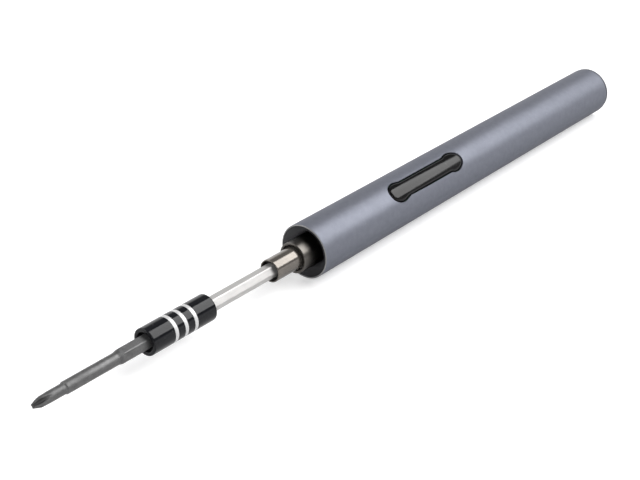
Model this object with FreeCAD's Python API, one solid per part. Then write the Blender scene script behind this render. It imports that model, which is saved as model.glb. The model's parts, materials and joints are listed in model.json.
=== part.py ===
import FreeCAD, Part
import math
import os
from FreeCAD import Vector

# Pen-shaped electric screwdriver with a pull-out extension and bit, lying on its side.
# Lengths are in millimetres, angles in degrees.
# The tool is laid out along X: the handle's front end is at zero,
# the bit points to -X and the rocker is on top.
# place() then rolls it on its side, centres it and stands it on the floor.

# Clearances shared by many pieces
FIT_GAP = 0.05
PRESS_GAP = 0.01
RUN_GAP = 0.03
SIDE_GAP = 0.2
END_GAP = 0.05
OVERRUN = 1.0
NEAR_SHARE = 1e-6

# Handle tube and the way it lies
TUBE_DIA = 17.0
TUBE_WALL = 1.0
TUBE_LENGTH = 167.6
TUBE_EDGE = 0.25
FRONT_LIP = 0.45
ROCKER_ROLL = 39.0

# Rocker and its window in the tube
ROCKER_SETBACK = 21.2
WINDOW_LENGTH = 38.56
WINDOW_WIDTH = 7.16
WINDOW_WAIST = 5.95
WINDOW_TIP_DIA = 6.0
WINDOW_SHOULDER_DIA = 12.0
WINDOW_HOLLOW_DIA = 6.4
WINDOW_EDGE = 0.2
ROCKER_GAP = 0.35
ROCKER_STAND = 0.2
ROCKER_THICK = 2.4
ROCKER_CROWN_DIA = 11.0
ROCKER_EDGE = 1.0
ROCKER_EDGE_TO_WALL_SHARE = 1.5
ROCKER_FOOT_SHARE = 0.05
ROCKER_TILT = 2.0
PIN_DIA = 1.0
PIN_DROP = 1.2
PIN_HEIGHT = 1.6
LUG_DIA = 1.9
LUG_WIDTH = 4.2
EAR_THICK = 0.8
EAR_LENGTH = 2.2
EAR_CLEARANCE = 0.3
BRACKET_BASE = 0.4
BRACKET_LENGTH = 5.0

# Switches under the rocker
SWITCH_ARM_SHARE = 0.67
SWITCH_SIDE = 4.5
SWITCH_HEIGHT = 1.1
SWITCH_FLOOR = 0.3
PLUNGER_DIA = 1.6
PLUNGER_TRAVEL = 0.25
PLUNGER_GAP = 0.1

# Nose bezel and lamps
BEZEL_INSET = 0.1
BEZEL_FLANGE = 1.5
BEZEL_FLOOR = 1.0
BEZEL_SKIRT = 2.0
RECESS_WIDTH = 9.8
RECESS_SPAN = 14.6
RECESS_DEPTH = 4.0
RECESS_ROLL = 11.0
LENS_DIA = 2.3
LENS_STAND = 0.4
LENS_ROUND = 0.35
LAMP_LENGTH = 1.6
LAMP_WIDTH = 0.7
LAMP_HEIGHT = 0.7
LAMP_BOARD_THICK = 0.8

# Gears: two planetary stages in one ring gear
SUN_PITCH_DIA = 3.6
SUN_TEETH = 12
PLANET_TEETH = 12
RING_TEETH = SUN_TEETH + 2 * PLANET_TEETH
PLANET_COUNT = 3
PRESSURE_ANGLE = 25.0
ADDENDUM_SHARE = 0.8
DEDENDUM_SHARE = 1.05
BACKLASH_SHARE = 0.09
GEAR_FACE = 2.4
PLANET_PIN_DIA = 1.0
PIN_PROUD = 0.1
CARRIER_THICK = 1.5
CARRIER_RIM = 0.75
PIN_SINK = 1.1

# Gearbox housing, collar and spindle
GEARBOX_WALL = 0.7
GEARBOX_FRONT_WALL = 1.2
END_PLATE_THICK = 1.0
PINION_HOLE_DIA = 4.6
COLLAR_STAND = 5.25
COLLAR_DIA = 9.6
COLLAR_BORE = 8.0
COLLAR_EDGE = 0.3
BUSH_STAND = 2.2
WASHER_THICK = 0.2
WASHER_RUN = 0.1
NOSE_STAND = 15.4
NOSE_DIA = 7.0
NOSE_EDGE = 0.25
MOUTH_DIA = 5.4
MOUTH_DEPTH = 1.5
SOCKET_ACROSS = 4.06
CHUCK_DEPTH = 14.5
CLIP_THICK = 0.45
CLIP_SINK = 0.35
CLIP_STAND = 0.35
CLIP_OPENING = 60.0
MAGNET_DIA = 3.9
MAGNET_LENGTH = 3.0

# Extension and bit
HEX_ACROSS = 3.96
HEX_CORNER_DIA = 4.42
ROD_SHOWN = 26.1
ROD_ROLL = 18.0
SLEEVE_DIA = 8.0
SLEEVE_LENGTH = 23.6
SLEEVE_EDGE = 0.4
SLEEVE_MOUTH_DIA = 5.7
SLEEVE_MOUTH_DEPTH = 2.0
BAND_WIDTH = 1.2
BAND_DEPTH = 0.5
BAND_PITCH = 3.7
BAND_PLACE = 8.25
BAND_COUNT = 3
BIT_SEAT = 6.2
BIT_LENGTH = 43.75
BIT_ROLL = 37.0
BIT_HEX_LENGTH = 14.5
BIT_TAPER = 1.8
BIT_REAR_EDGE = 0.3
SHANK_DIA = 3.5
NECK_LENGTH = 9.85
NECK_STEP = 0.3
NECK_DIA = 3.0
TIP_LENGTH = 2.35
TIP_END_DIA = 1.44
FLUTE_COUNT = 4
FLUTE_ROLL = 7.0
FLUTE_DIA = 1.3
FLUTE_LENGTH = 5.45
TIP_WEB = 0.4

# Motor
MOTOR_DIA = 12.0
MOTOR_LENGTH = 15.5
MOTOR_WALL = 0.4
MOTOR_FRONT_WALL = 0.8
SHAFT_DIA = 1.5
MOTOR_BUSH_DIA = 3.2
MOTOR_BUSH_LENGTH = 2.0
END_BELL_THICK = 2.2
MAGNET_RING_BORE = 7.0
MAGNET_RING_LENGTH = 8.5
MAGNET_SPAN = 130.0
MAGNET_ROLL = 90.0
ARMATURE_DIA = 6.4
ARMATURE_LENGTH = 6.5
ARMATURE_HUB_DIA = 2.6
ARMATURE_ARM = 1.2
ARMATURE_RIM = 0.7
POLE_COUNT = 3
POLE_SPAN = 96.0
COIL_WIDTH = 2.6
COIL_HEIGHT = 0.75
COIL_PROUD = 0.6
ROTOR_SPACE = 1.8
COMMUTATOR_DIA = 2.6
COMMUTATOR_LENGTH = 1.8
BRUSH_GAP = 0.1
BRUSH_THICK = 1.2
BRUSH_WIDTH = 1.2
BRUSH_LENGTH = 2.0
TERMINAL_LENGTH = 1.4
TERMINAL_THICK = 0.4
TERMINAL_WIDTH = 1.6
TERMINAL_OFFSET = 2.5

# Chassis, main board and what is fixed to it
CHASSIS_WALL = 1.2
CRADLE_LENGTH = 8.0
BOARD_THICK = 1.0
BOARD_SIDE_GAP = 0.2
BOARD_START_GAP = 2.4
SCREW_DIA = 1.6
SCREW_HEAD_DIA = 2.8
SCREW_HEAD_HEIGHT = 0.8
SCREW_SLOT_WIDTH = 0.4
SCREW_SLOT_DEPTH = 0.4
SCREW_LENGTH = 5.0
SCREW_ARM_SHARE = 0.5
BOSS_DIA = 3.2
PART_HEIGHT = 1.2
PART_SIDE = 5.0
PART_SPACE = 1.0

# Battery, charge board, charge socket and tail cap
BATTERY_DIA = 10.0
BATTERY_LENGTH = 44.0
BATTERY_EDGE = 0.5
BATTERY_NUB_DIA = 4.0
BATTERY_NUB_HEIGHT = 0.8
BATTERY_SPACE = 1.6
BATTERY_FRONT_SPACE = 3.0
TAB_THICK = 0.2
TAB_WIDTH = 3.0
TAB_HEIGHT = 5.0
RIB_THICK = 1.5
RIB_TOP_SHARE = 0.7
CAP_THICK = 0.9
CAP_SEAM = 0.1
CAP_INSET = 0.1
CAP_PLUG = 5.0
CAP_WALL = 1.0
CAP_EDGE = 0.15
KNURL_DIA = 0.32
KNURL_COUNT = 72
SOCKET_WIDTH = 8.94
SOCKET_HEIGHT = 3.16
SOCKET_WALL = 0.3
SOCKET_LENGTH = 7.35
SOCKET_INSET = 0.3
SOCKET_BACK = 1.2
SLOT_GAP = 0.1
TONGUE_WIDTH = 6.7
TONGUE_THICK = 0.7
TONGUE_INSET = 1.0
CHARGE_BOARD_LENGTH = 16.0
CHARGE_BOARD_WIDTH = 10.8
CHARGE_BOARD_THICK = 0.8
SHELF_WIDTH = 6.0

# Inside leads
LEAD_DIA = 0.7
LEAD_BEND = 0.75
LEAD_HEIGHT = 1.2
LEAD_PITCH = 1.5
LEAD_INSET = 3.8
LEAD_REACH = 4.0
LEAD_SETBACK = 2.5
LEAD_TAB_SHARE = 0.25

# Places along the axis, worked out from the sizes above
tube_r = TUBE_DIA / 2
bore_r = tube_r - TUBE_WALL
nose_front = -NOSE_STAND
collar_front = -COLLAR_STAND
recess_floor = BEZEL_INSET + RECESS_DEPTH
floor_back = recess_floor + BEZEL_FLOOR
lamp_board_front = floor_back + LAMP_HEIGHT
gearbox_front = lamp_board_front + LAMP_BOARD_THICK
gear_space_front = gearbox_front + GEARBOX_FRONT_WALL
carrier2_front = gear_space_front + WASHER_THICK + WASHER_RUN
carrier2_back = carrier2_front + CARRIER_THICK
stage2_front = carrier2_back + SIDE_GAP
stage2_back = stage2_front + GEAR_FACE
carrier1_front = stage2_back + PIN_PROUD + SIDE_GAP
carrier1_back = carrier1_front + CARRIER_THICK
stage1_front = carrier1_back + SIDE_GAP
stage1_back = stage1_front + GEAR_FACE
end_plate_front = stage1_back + PIN_PROUD + SIDE_GAP
motor_front = end_plate_front + END_PLATE_THICK
motor_back = motor_front + MOTOR_LENGTH
rocker_place = motor_back + ROCKER_SETBACK
switch_arm = WINDOW_LENGTH / 2 * SWITCH_ARM_SHARE
screw_arm = switch_arm * SCREW_ARM_SHARE
tail_plug_back = TUBE_LENGTH + CAP_SEAM
tail_plug_front = tail_plug_back - CAP_PLUG
tail = tail_plug_back + CAP_THICK
chassis_back = tail_plug_front - SIDE_GAP
charge_board_back = tail_plug_back - SIDE_GAP
charge_board_front = charge_board_back - CHARGE_BOARD_LENGTH
battery_back = charge_board_front - BATTERY_SPACE
battery_front = battery_back - BATTERY_LENGTH
board_front = motor_back + BOARD_START_GAP
board_back = battery_front - BATTERY_FRONT_SPACE
sleeve_rear = nose_front - ROD_SHOWN
sleeve_front = sleeve_rear - SLEEVE_LENGTH
bit_rear = sleeve_front + BIT_SEAT
bit_tip = bit_rear - BIT_LENGTH
chuck_floor = nose_front + CHUCK_DEPTH
chuck_magnet_front = chuck_floor - MAGNET_LENGTH
rod_rear = chuck_magnet_front - END_GAP
extension_magnet_front = bit_rear + END_GAP
rod_front = extension_magnet_front + MAGNET_LENGTH + END_GAP
middle = (bit_tip + tail) / 2

# Heights above the axis, from the rocker's top downwards
rocker_top = tube_r + ROCKER_STAND
rocker_bottom = rocker_top - ROCKER_THICK
pin_height = rocker_bottom - PIN_DROP
board_top = pin_height - PIN_HEIGHT
board_bottom = board_top - BOARD_THICK
plunger_top = rocker_bottom - switch_arm * math.tan(math.radians(ROCKER_TILT)) - PLUNGER_GAP
plunger_bottom = board_top + SWITCH_FLOOR + PLUNGER_TRAVEL + END_GAP
socket_bottom = -SOCKET_HEIGHT / 2
charge_board_bottom = socket_bottom - CHARGE_BOARD_THICK

# Radii
plug_r = bore_r - FIT_GAP
chassis_inner_r = plug_r - CHASSIS_WALL
collar_r = COLLAR_DIA / 2
collar_bore_r = COLLAR_BORE / 2
nose_r = NOSE_DIA / 2
tooth_module = SUN_PITCH_DIA / SUN_TEETH
ring_pitch_r = tooth_module * RING_TEETH / 2
sun_pitch_r = SUN_PITCH_DIA / 2
planet_pitch_r = tooth_module * PLANET_TEETH / 2
orbit_r = sun_pitch_r + planet_pitch_r
ring_root_r = ring_pitch_r + DEDENDUM_SHARE * tooth_module
gearbox_r = ring_root_r + GEARBOX_WALL
carrier_r = orbit_r + PLANET_PIN_DIA / 2 + CARRIER_RIM
motor_r = MOTOR_DIA / 2
motor_inner_r = motor_r - MOTOR_WALL
battery_r = BATTERY_DIA / 2
sleeve_r = SLEEVE_DIA / 2
magnet_r = MAGNET_DIA / 2
shaft_r = SHAFT_DIA / 2
lens_orbit_r = collar_r + FIT_GAP + LENS_DIA / 2
lead_path_r = (battery_r + chassis_inner_r) / 2

AXIS = Vector(1, 0, 0)
ORIGIN = Vector(0, 0, 0)


# Shared shapes

def around(x, radius, angle):
    """Point at a radius and an angle round the axis, counted from the rocker's side."""
    turn = math.radians(angle)
    return Vector(x, -radius * math.sin(turn), radius * math.cos(turn))


def rod(x0, x1, radius):
    """Round bar along the axis."""
    return Part.makeCylinder(radius, x1 - x0, Vector(x0, 0, 0), AXIS)


def ring(x0, x1, outer, inner):
    """Round tube along the axis."""
    return rod(x0, x1, outer).cut(rod(x0 - OVERRUN, x1 + OVERRUN, inner))


def cone(x0, x1, radius0, radius1):
    """Tapered round bar along the axis."""
    return Part.makeCone(radius0, radius1, x1 - x0, Vector(x0, 0, 0), AXIS)


def block(x0, x1, half_width, z0, z1):
    """Box centred across the tool."""
    return Part.makeBox(x1 - x0, 2 * half_width, z1 - z0, Vector(x0, -half_width, z0))


def post(x, y, z0, z1, radius):
    """Upright round bar."""
    return Part.makeCylinder(radius, z1 - z0, Vector(x, y, z0))


def cross_pin(x, z, half_width, radius):
    """Round bar across the tool."""
    return Part.makeCylinder(radius, 2 * half_width, Vector(x, -half_width, z), Vector(0, 1, 0))


def hex_bar(x0, x1, across, roll):
    """Six-sided bar along the axis with a flat at the roll angle."""
    corner_r = across / 2 / math.cos(math.radians(30))
    corners = [around(x0, corner_r, roll + 30 + 60 * side) for side in range(7)]
    return Part.Face(Part.makePolygon(corners)).extrude(Vector(x1 - x0, 0, 0))


def turned(shape, angle):
    """The shape turned round the tool's axis, from the rocker's side towards -Y."""
    copy = shape.copy()
    copy.rotate(ORIGIN, AXIS, angle)
    return copy


def repeated(shape, count):
    """Copies of a shape spread evenly round the axis."""
    return [turned(shape, 360 * place_number / count) for place_number in range(count)]


def chamfered_rod(x0, x1, radius, edge0, edge1):
    """Round bar with a bevelled edge at each end."""
    body = rod(x0 + edge0, x1 - edge1, radius)
    parts = []
    if edge0 > 0:
        parts.append(cone(x0, x0 + edge0, radius - edge0, radius))
    if edge1 > 0:
        parts.append(cone(x1 - edge1, x1, radius, radius - edge1))
    return body.multiFuse(parts).removeSplitter() if parts else body


def dog_bone(gap, z0, z1):
    """Upright bar with the window's dog-bone outline, smaller all round by a gap."""
    reach, half = WINDOW_LENGTH / 2 - gap, WINDOW_WIDTH / 2 - gap
    tip_r, shoulder_r = WINDOW_TIP_DIA / 2 - gap, WINDOW_SHOULDER_DIA / 2 - gap
    waist_half, hollow_r = WINDOW_WAIST / 2 - gap, WINDOW_HOLLOW_DIA / 2 + gap
    tip = Vector(reach - tip_r, 0, 0)
    shoulder_run = math.sqrt((shoulder_r - tip_r) ** 2 - (shoulder_r - half) ** 2)
    shoulder = Vector(tip.x - shoulder_run, half - shoulder_r, 0)
    rise = waist_half + hollow_r - shoulder.y
    hollow_run = math.sqrt((shoulder_r + hollow_r) ** 2 - rise ** 2)
    hollow = Vector(shoulder.x - hollow_run, waist_half + hollow_r, 0)
    waist_end = Vector(hollow.x, waist_half, 0)
    hollow_end = hollow + (shoulder - hollow) * (hollow_r / (shoulder_r + hollow_r))
    shoulder_end = shoulder + (tip - shoulder) * (shoulder_r / (shoulder_r - tip_r))

    def middle(centre, first, last):
        return centre + (first + last - centre * 2).normalize() * (first - centre).Length

    hollow_middle = middle(hollow, waist_end, hollow_end)
    shoulder_middle = middle(shoulder, hollow_end, shoulder_end)
    tip_middle = Vector(reach, 0, 0)

    def point(place, side_x, side_y):
        return Vector(rocker_place + side_x * place.x, side_y * place.y, z0)

    def arc(places, side_x, sides_y):
        points = [point(place, side_x, side_y) for place, side_y in zip(places, sides_y)]
        return Part.Arc(*points).toShape()

    edges = []
    for side in (1, -1):
        edges.append(Part.makeLine(point(waist_end, -side, side), point(waist_end, side, side)))
        edges.append(arc((shoulder_end, tip_middle, shoulder_end), side, (side, side, -side)))
        for side_y in (side, -side):
            edges.append(arc((waist_end, hollow_middle, hollow_end), side, (side_y,) * 3))
            edges.append(arc((hollow_end, shoulder_middle, shoulder_end), side, (side_y,) * 3))
    outline = Part.Wire(Part.__sortEdges__(edges))
    return Part.Face(outline).extrude(Vector(0, 0, z1 - z0))


def edges_at_radius(shape, radius, x0, x1):
    """Edges lying wholly on a round surface, between two places along the axis."""
    point_shares = (0.1, 0.5, 0.9)
    found = []
    for edge in shape.Edges:
        run = edge.LastParameter - edge.FirstParameter
        points = [edge.valueAt(edge.FirstParameter + run * share) for share in point_shares]
        on_surface = all(abs(math.hypot(p.y, p.z) - radius) < radius * NEAR_SHARE for p in points)
        if on_surface and all(x0 < p.x < x1 for p in points):
            found.append(edge)
    return found


def edges_near(shape, x):
    """Edges that lie in the plane across the axis at x."""
    near = shape.BoundBox.DiagonalLength * NEAR_SHARE
    return [edge for edge in shape.Edges
            if abs(edge.BoundBox.XMin - x) + abs(edge.BoundBox.XMax - x) < near]


def gear_bar(x0, x1, teeth, addendum_share, dedendum_share, backlash_share):
    """Toothed bar along the axis with a tooth towards the rocker's side."""
    pitch_r = tooth_module * teeth / 2
    base_r = pitch_r * math.cos(math.radians(PRESSURE_ANGLE))
    tip_r = pitch_r + addendum_share * tooth_module
    root_r = pitch_r - dedendum_share * tooth_module
    flank_r = max(base_r, root_r)

    def involute(radius):
        slope = math.acos(base_r / radius)
        return math.degrees(math.tan(slope) - slope)

    pitch_half = 90 / teeth - math.degrees(backlash_share * tooth_module / 2 / pitch_r)

    def half_angle(radius):
        return pitch_half + involute(pitch_r) - involute(radius)

    pitch_angle = 360 / teeth
    middle_r = (flank_r + tip_r) / 2
    edges = []
    for tooth in range(teeth):
        centre = tooth * pitch_angle
        for side in (-1, 1):
            foot = around(x0, flank_r, centre + side * half_angle(flank_r))
            flank = around(x0, middle_r, centre + side * half_angle(middle_r))
            tip = around(x0, tip_r, centre + side * half_angle(tip_r))
            if root_r < base_r:
                edges.append(Part.makeLine(around(x0, root_r, centre + side * half_angle(flank_r)), foot))
            edges.append(Part.Arc(foot, flank, tip).toShape())
        tip_angle = half_angle(tip_r)
        root_angle = half_angle(flank_r)
        edges.append(Part.Arc(around(x0, tip_r, centre - tip_angle), around(x0, tip_r, centre),
                              around(x0, tip_r, centre + tip_angle)).toShape())
        edges.append(Part.Arc(around(x0, root_r, centre + root_angle),
                              around(x0, root_r, centre + pitch_angle / 2),
                              around(x0, root_r, centre + pitch_angle - root_angle)).toShape())
    return Part.Face(Part.Wire(Part.__sortEdges__(edges))).extrude(Vector(x1 - x0, 0, 0))


def lead(points):
    """Insulated wire along straight runs joined by tangent arcs."""
    edges = []
    start = points[0]
    for before, corner, after in zip(points, points[1:], points[2:]):
        inward = (before - corner).normalize()
        outward = (after - corner).normalize()
        half = inward.getAngle(outward) / 2
        run = LEAD_BEND / math.tan(half)
        enter = corner + inward * run
        leave = corner + outward * run
        crown = corner + (inward + outward).normalize() * (LEAD_BEND / math.sin(half) - LEAD_BEND)
        edges.append(Part.makeLine(start, enter))
        edges.append(Part.Arc(enter, crown, leave).toShape())
        start = leave
    edges.append(Part.makeLine(start, points[-1]))
    section = Part.Wire([Part.makeCircle(LEAD_DIA / 2, points[0], points[1] - points[0])])
    return Part.Wire(edges).makePipeShell([section], True, False)


def slot_bar(x0, x1, width, height):
    """Bar along the axis with a flat oval section."""
    flat = (width - height) / 2
    side = rod(x0, x1, height / 2)
    left = side.copy()
    left.translate(Vector(0, -flat, 0))
    right = side.copy()
    right.translate(Vector(0, flat, 0))
    return block(x0, x1, flat, -height / 2, height / 2).multiFuse([left, right]).removeSplitter()


def pair_across(shape):
    """A shape and its copy on the other side of the axis."""
    return Part.makeCompound([shape, turned(shape, 180)])


# Handle tube and tail cap

def make_handle_tube():
    """Drawn tube with a thinned front lip, bevelled ends and the rocker's window."""
    tube = chamfered_rod(0, TUBE_LENGTH, tube_r, TUBE_EDGE, TUBE_EDGE)
    tube = tube.cut(rod(-OVERRUN, TUBE_LENGTH + OVERRUN, bore_r))
    tube = tube.cut(rod(-OVERRUN, BEZEL_INSET + BEZEL_FLANGE, tube_r - FRONT_LIP))
    tube = tube.cut(dog_bone(0, 0, tube_r + OVERRUN))
    window_half = WINDOW_LENGTH / 2 + OVERRUN
    rim = edges_at_radius(tube, tube_r, rocker_place - window_half, rocker_place + window_half)
    return tube.makeChamfer(WINDOW_EDGE, rim)


def make_tail_cap():
    """Cap with a fine coin edge, a hollow plug and the charge socket's slot."""
    cap_r = tube_r - CAP_INSET
    flange = chamfered_rod(tail_plug_back, tail, cap_r, 0, CAP_EDGE)
    groove = rod(tail_plug_back - OVERRUN, tail + OVERRUN, KNURL_DIA / 2)
    groove.translate(around(0, cap_r, 0))
    flange = flange.cut(Part.makeCompound(repeated(groove, KNURL_COUNT)))
    plug = ring(tail_plug_front, tail_plug_back, plug_r, plug_r - CAP_WALL)
    slot = slot_bar(tail_plug_front, tail + OVERRUN,
                    SOCKET_WIDTH + 2 * SLOT_GAP, SOCKET_HEIGHT + 2 * SLOT_GAP)
    return flange.fuse(plug).removeSplitter().cut(slot)


# Nose bezel and lamps

def lamp_places():
    """Angles of the two lamps, in the ends of the recess."""
    return (RECESS_ROLL, RECESS_ROLL + 180)


def make_nose_bezel():
    """Black front insert with a slot-shaped recess round the collar and a skirt round the gearbox."""
    back = gearbox_front + BEZEL_SKIRT
    flange = rod(BEZEL_INSET, BEZEL_INSET + BEZEL_FLANGE - FIT_GAP, tube_r - FRONT_LIP - FIT_GAP)
    bezel = flange.fuse(rod(BEZEL_INSET + BEZEL_FLANGE - FIT_GAP, back, plug_r)).removeSplitter()
    recess = rod(BEZEL_INSET - OVERRUN, recess_floor, RECESS_SPAN / 2)
    slot = block(BEZEL_INSET - OVERRUN, recess_floor, RECESS_WIDTH / 2, -tube_r, tube_r)
    bezel = bezel.cut(turned(recess.common(slot), RECESS_ROLL))
    bezel = bezel.cut(rod(recess_floor - OVERRUN, back + OVERRUN, collar_r + FIT_GAP))
    bezel = bezel.cut(rod(floor_back, back + OVERRUN, gearbox_r + FIT_GAP))
    hole = rod(recess_floor - OVERRUN, floor_back + OVERRUN, LENS_DIA / 2 + PRESS_GAP)
    hole.translate(around(0, lens_orbit_r, 0))
    for angle in lamp_places():
        bezel = bezel.cut(turned(hole, angle))
    return bezel


def make_lamp_lenses():
    """Two clear round-topped lenses in the bezel's floor."""
    lens = rod(recess_floor - LENS_STAND, floor_back, LENS_DIA / 2)
    crown = edges_near(lens, recess_floor - LENS_STAND)
    lens = lens.makeFillet(LENS_ROUND, crown)
    lens.translate(around(0, lens_orbit_r, 0))
    return Part.makeCompound([turned(lens, angle) for angle in lamp_places()])


def make_lamp_board():
    """Ring-shaped board between the bezel and the gearbox."""
    return ring(lamp_board_front, gearbox_front, gearbox_r, collar_r + FIT_GAP)


def make_lamp_chips():
    """Two lamp chips on the ring board, behind the lenses."""
    half = LAMP_WIDTH / 2
    chip = block(floor_back + END_GAP, lamp_board_front, LAMP_LENGTH / 2,
                 lens_orbit_r - half, lens_orbit_r + half)
    return Part.makeCompound([turned(chip, angle) for angle in lamp_places()])


# Gearbox

def make_gearbox_housing():
    """Ring gear housing with the collar that stands out of the handle's nose."""
    body = rod(gearbox_front, motor_front, gearbox_r)
    collar = chamfered_rod(collar_front, gearbox_front, collar_r, COLLAR_EDGE, 0)
    housing = body.fuse(collar).removeSplitter()
    housing = housing.cut(rod(collar_front - OVERRUN, gear_space_front + OVERRUN, collar_bore_r))
    mouth_r = collar_bore_r + COLLAR_EDGE
    housing = housing.cut(cone(collar_front, collar_front + COLLAR_EDGE, mouth_r, collar_bore_r))
    teeth = gear_bar(gear_space_front, end_plate_front, RING_TEETH,
                     DEDENDUM_SHARE, ADDENDUM_SHARE, -BACKLASH_SHARE)
    housing = housing.cut(turned(teeth, 180 / RING_TEETH))
    return housing.cut(rod(end_plate_front, motor_front + OVERRUN, ring_root_r))


def make_spindle_bush():
    """Sintered sleeve that the spindle turns in."""
    return ring(-BUSH_STAND, gear_space_front, collar_bore_r - PRESS_GAP, nose_r + RUN_GAP)


def make_thrust_washer():
    """Thin washer between the housing's front wall and the spindle's carrier."""
    return ring(gear_space_front, gear_space_front + WASHER_THICK, carrier_r, nose_r + RUN_GAP)


def make_end_plate():
    """Plate between the gears and the motor."""
    return ring(end_plate_front, motor_front, ring_root_r - FIT_GAP, PINION_HOLE_DIA / 2)


def pin_holes(x0, x1):
    """Holes for a carrier's planet pins."""
    hole = rod(x0, x1, PLANET_PIN_DIA / 2 + PRESS_GAP)
    hole.translate(around(0, orbit_r, 0))
    return Part.makeCompound(repeated(hole, PLANET_COUNT))


def make_planet_pins(carrier_back, planet_back):
    """Three planet pins pressed into a carrier."""
    pin = rod(carrier_back - PIN_SINK, planet_back + PIN_PROUD, PLANET_PIN_DIA / 2)
    pin.translate(around(0, orbit_r, 0))
    return Part.makeCompound(repeated(pin, PLANET_COUNT))


def make_planets(x0):
    """The planet gears of one stage, in mesh with its sun and ring."""
    gear = gear_bar(x0, x0 + GEAR_FACE, PLANET_TEETH, ADDENDUM_SHARE, DEDENDUM_SHARE, BACKLASH_SHARE)
    gear = turned(gear, 180 / PLANET_TEETH)
    gear = gear.cut(rod(x0 - OVERRUN, x0 + GEAR_FACE + OVERRUN, PLANET_PIN_DIA / 2 + RUN_GAP))
    gear.translate(around(0, orbit_r, 0))
    return repeated(gear, PLANET_COUNT)


def sun_bar(x0, x1):
    """Toothed bar of a sun gear."""
    return gear_bar(x0, x1, SUN_TEETH, ADDENDUM_SHARE, DEDENDUM_SHARE, BACKLASH_SHARE)


def make_spindle():
    """Output spindle: chuck nose with its hex socket in front, second carrier behind."""
    nose = chamfered_rod(nose_front, carrier2_front, nose_r, NOSE_EDGE, 0)
    spindle = nose.fuse(rod(carrier2_front, carrier2_back, carrier_r)).removeSplitter()
    spindle = spindle.cut(rod(nose_front - OVERRUN, nose_front + MOUTH_DEPTH, MOUTH_DIA / 2))
    spindle = spindle.cut(hex_bar(nose_front, chuck_floor, SOCKET_ACROSS, ROD_ROLL))
    clip_back = -BUSH_STAND - SIDE_GAP
    groove = ring(clip_back - CLIP_THICK - END_GAP, clip_back, nose_r + OVERRUN, nose_r - CLIP_SINK)
    spindle = spindle.cut(groove)
    return spindle.cut(pin_holes(carrier2_back - PIN_SINK, carrier2_back + OVERRUN))


def make_spindle_clip():
    """Open ring in the spindle's groove that keeps it from sliding back."""
    clip_front = -BUSH_STAND - SIDE_GAP - CLIP_THICK
    inner = nose_r - CLIP_SINK + PRESS_GAP
    outer = nose_r + CLIP_STAND
    sweep = 360 - CLIP_OPENING
    disc = Part.makeCylinder(outer, CLIP_THICK, Vector(clip_front, 0, 0), AXIS, sweep)
    return disc.cut(rod(clip_front - OVERRUN, clip_front + CLIP_THICK + OVERRUN, inner))


def make_first_carrier():
    """First carrier with the second stage's sun in front."""
    carrier = rod(carrier1_front, carrier1_back, carrier_r).fuse(sun_bar(stage2_front, carrier1_front))
    return carrier.cut(pin_holes(carrier1_back - PIN_SINK, carrier1_back + OVERRUN))


def magnet(x0):
    """Short round magnet along the axis."""
    return rod(x0, x0 + MAGNET_LENGTH, magnet_r)


# Motor

armature_front = motor_front + MOTOR_BUSH_LENGTH + ROTOR_SPACE
armature_back = armature_front + ARMATURE_LENGTH
end_bell_front = motor_back - END_BELL_THICK
commutator_back = end_bell_front - SIDE_GAP
commutator_front = commutator_back - COMMUTATOR_LENGTH


def make_motor_can():
    """Drawn steel cup with a bush hole in its front wall."""
    can = rod(motor_front, motor_back, motor_r)
    can = can.cut(rod(motor_front + MOTOR_FRONT_WALL, motor_back + OVERRUN, motor_inner_r))
    return can.cut(rod(motor_front - OVERRUN, motor_back, MOTOR_BUSH_DIA / 2 + PRESS_GAP))


def make_motor_bushes():
    """Bushes that carry the motor shaft at both ends."""
    front = ring(motor_front, motor_front + MOTOR_BUSH_LENGTH, MOTOR_BUSH_DIA / 2, shaft_r + RUN_GAP)
    back = front.copy()
    back.translate(Vector(end_bell_front - motor_front, 0, 0))
    return Part.makeCompound([front, back])


def make_motor_magnets():
    """Two curved magnets inside the can."""
    centre = (armature_front + armature_back) / 2
    front = centre - MAGNET_RING_LENGTH / 2
    outer = motor_inner_r - FIT_GAP
    arc = Part.makeCylinder(outer, MAGNET_RING_LENGTH, Vector(front, 0, 0), AXIS, MAGNET_SPAN)
    arc = arc.cut(rod(front - OVERRUN, front + MAGNET_RING_LENGTH + OVERRUN, MAGNET_RING_BORE / 2))
    return pair_across(turned(arc, MAGNET_ROLL - MAGNET_SPAN / 2))


def make_end_bell():
    """Plastic plug that closes the motor can."""
    return ring(end_bell_front, motor_back, motor_inner_r - FIT_GAP, MOTOR_BUSH_DIA / 2 + PRESS_GAP)


def make_motor_brushes():
    """Two brushes beside the commutator, on the end bell."""
    near = COMMUTATOR_DIA / 2 + BRUSH_GAP
    brush = block(end_bell_front - BRUSH_LENGTH, end_bell_front, BRUSH_WIDTH / 2,
                  near, near + BRUSH_THICK)
    return pair_across(brush)


def make_motor_terminals():
    """Two terminals behind the end bell."""
    tab = Part.makeBox(TERMINAL_LENGTH, TERMINAL_THICK, TERMINAL_WIDTH,
                       Vector(motor_back, TERMINAL_OFFSET, -TERMINAL_WIDTH / 2))
    return pair_across(tab)


def make_motor_shaft():
    """Shaft through the whole motor, with the pinion on its front end."""
    return rod(stage1_front, end_bell_front + MOTOR_BUSH_LENGTH, shaft_r)


def armature_arm(grow):
    """One arm of the armature, grown on each side for its coil's hole."""
    top = ARMATURE_DIA / 2 - ARMATURE_RIM / 2
    return block(armature_front, armature_back, ARMATURE_ARM / 2 + grow, 0, top)


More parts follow.
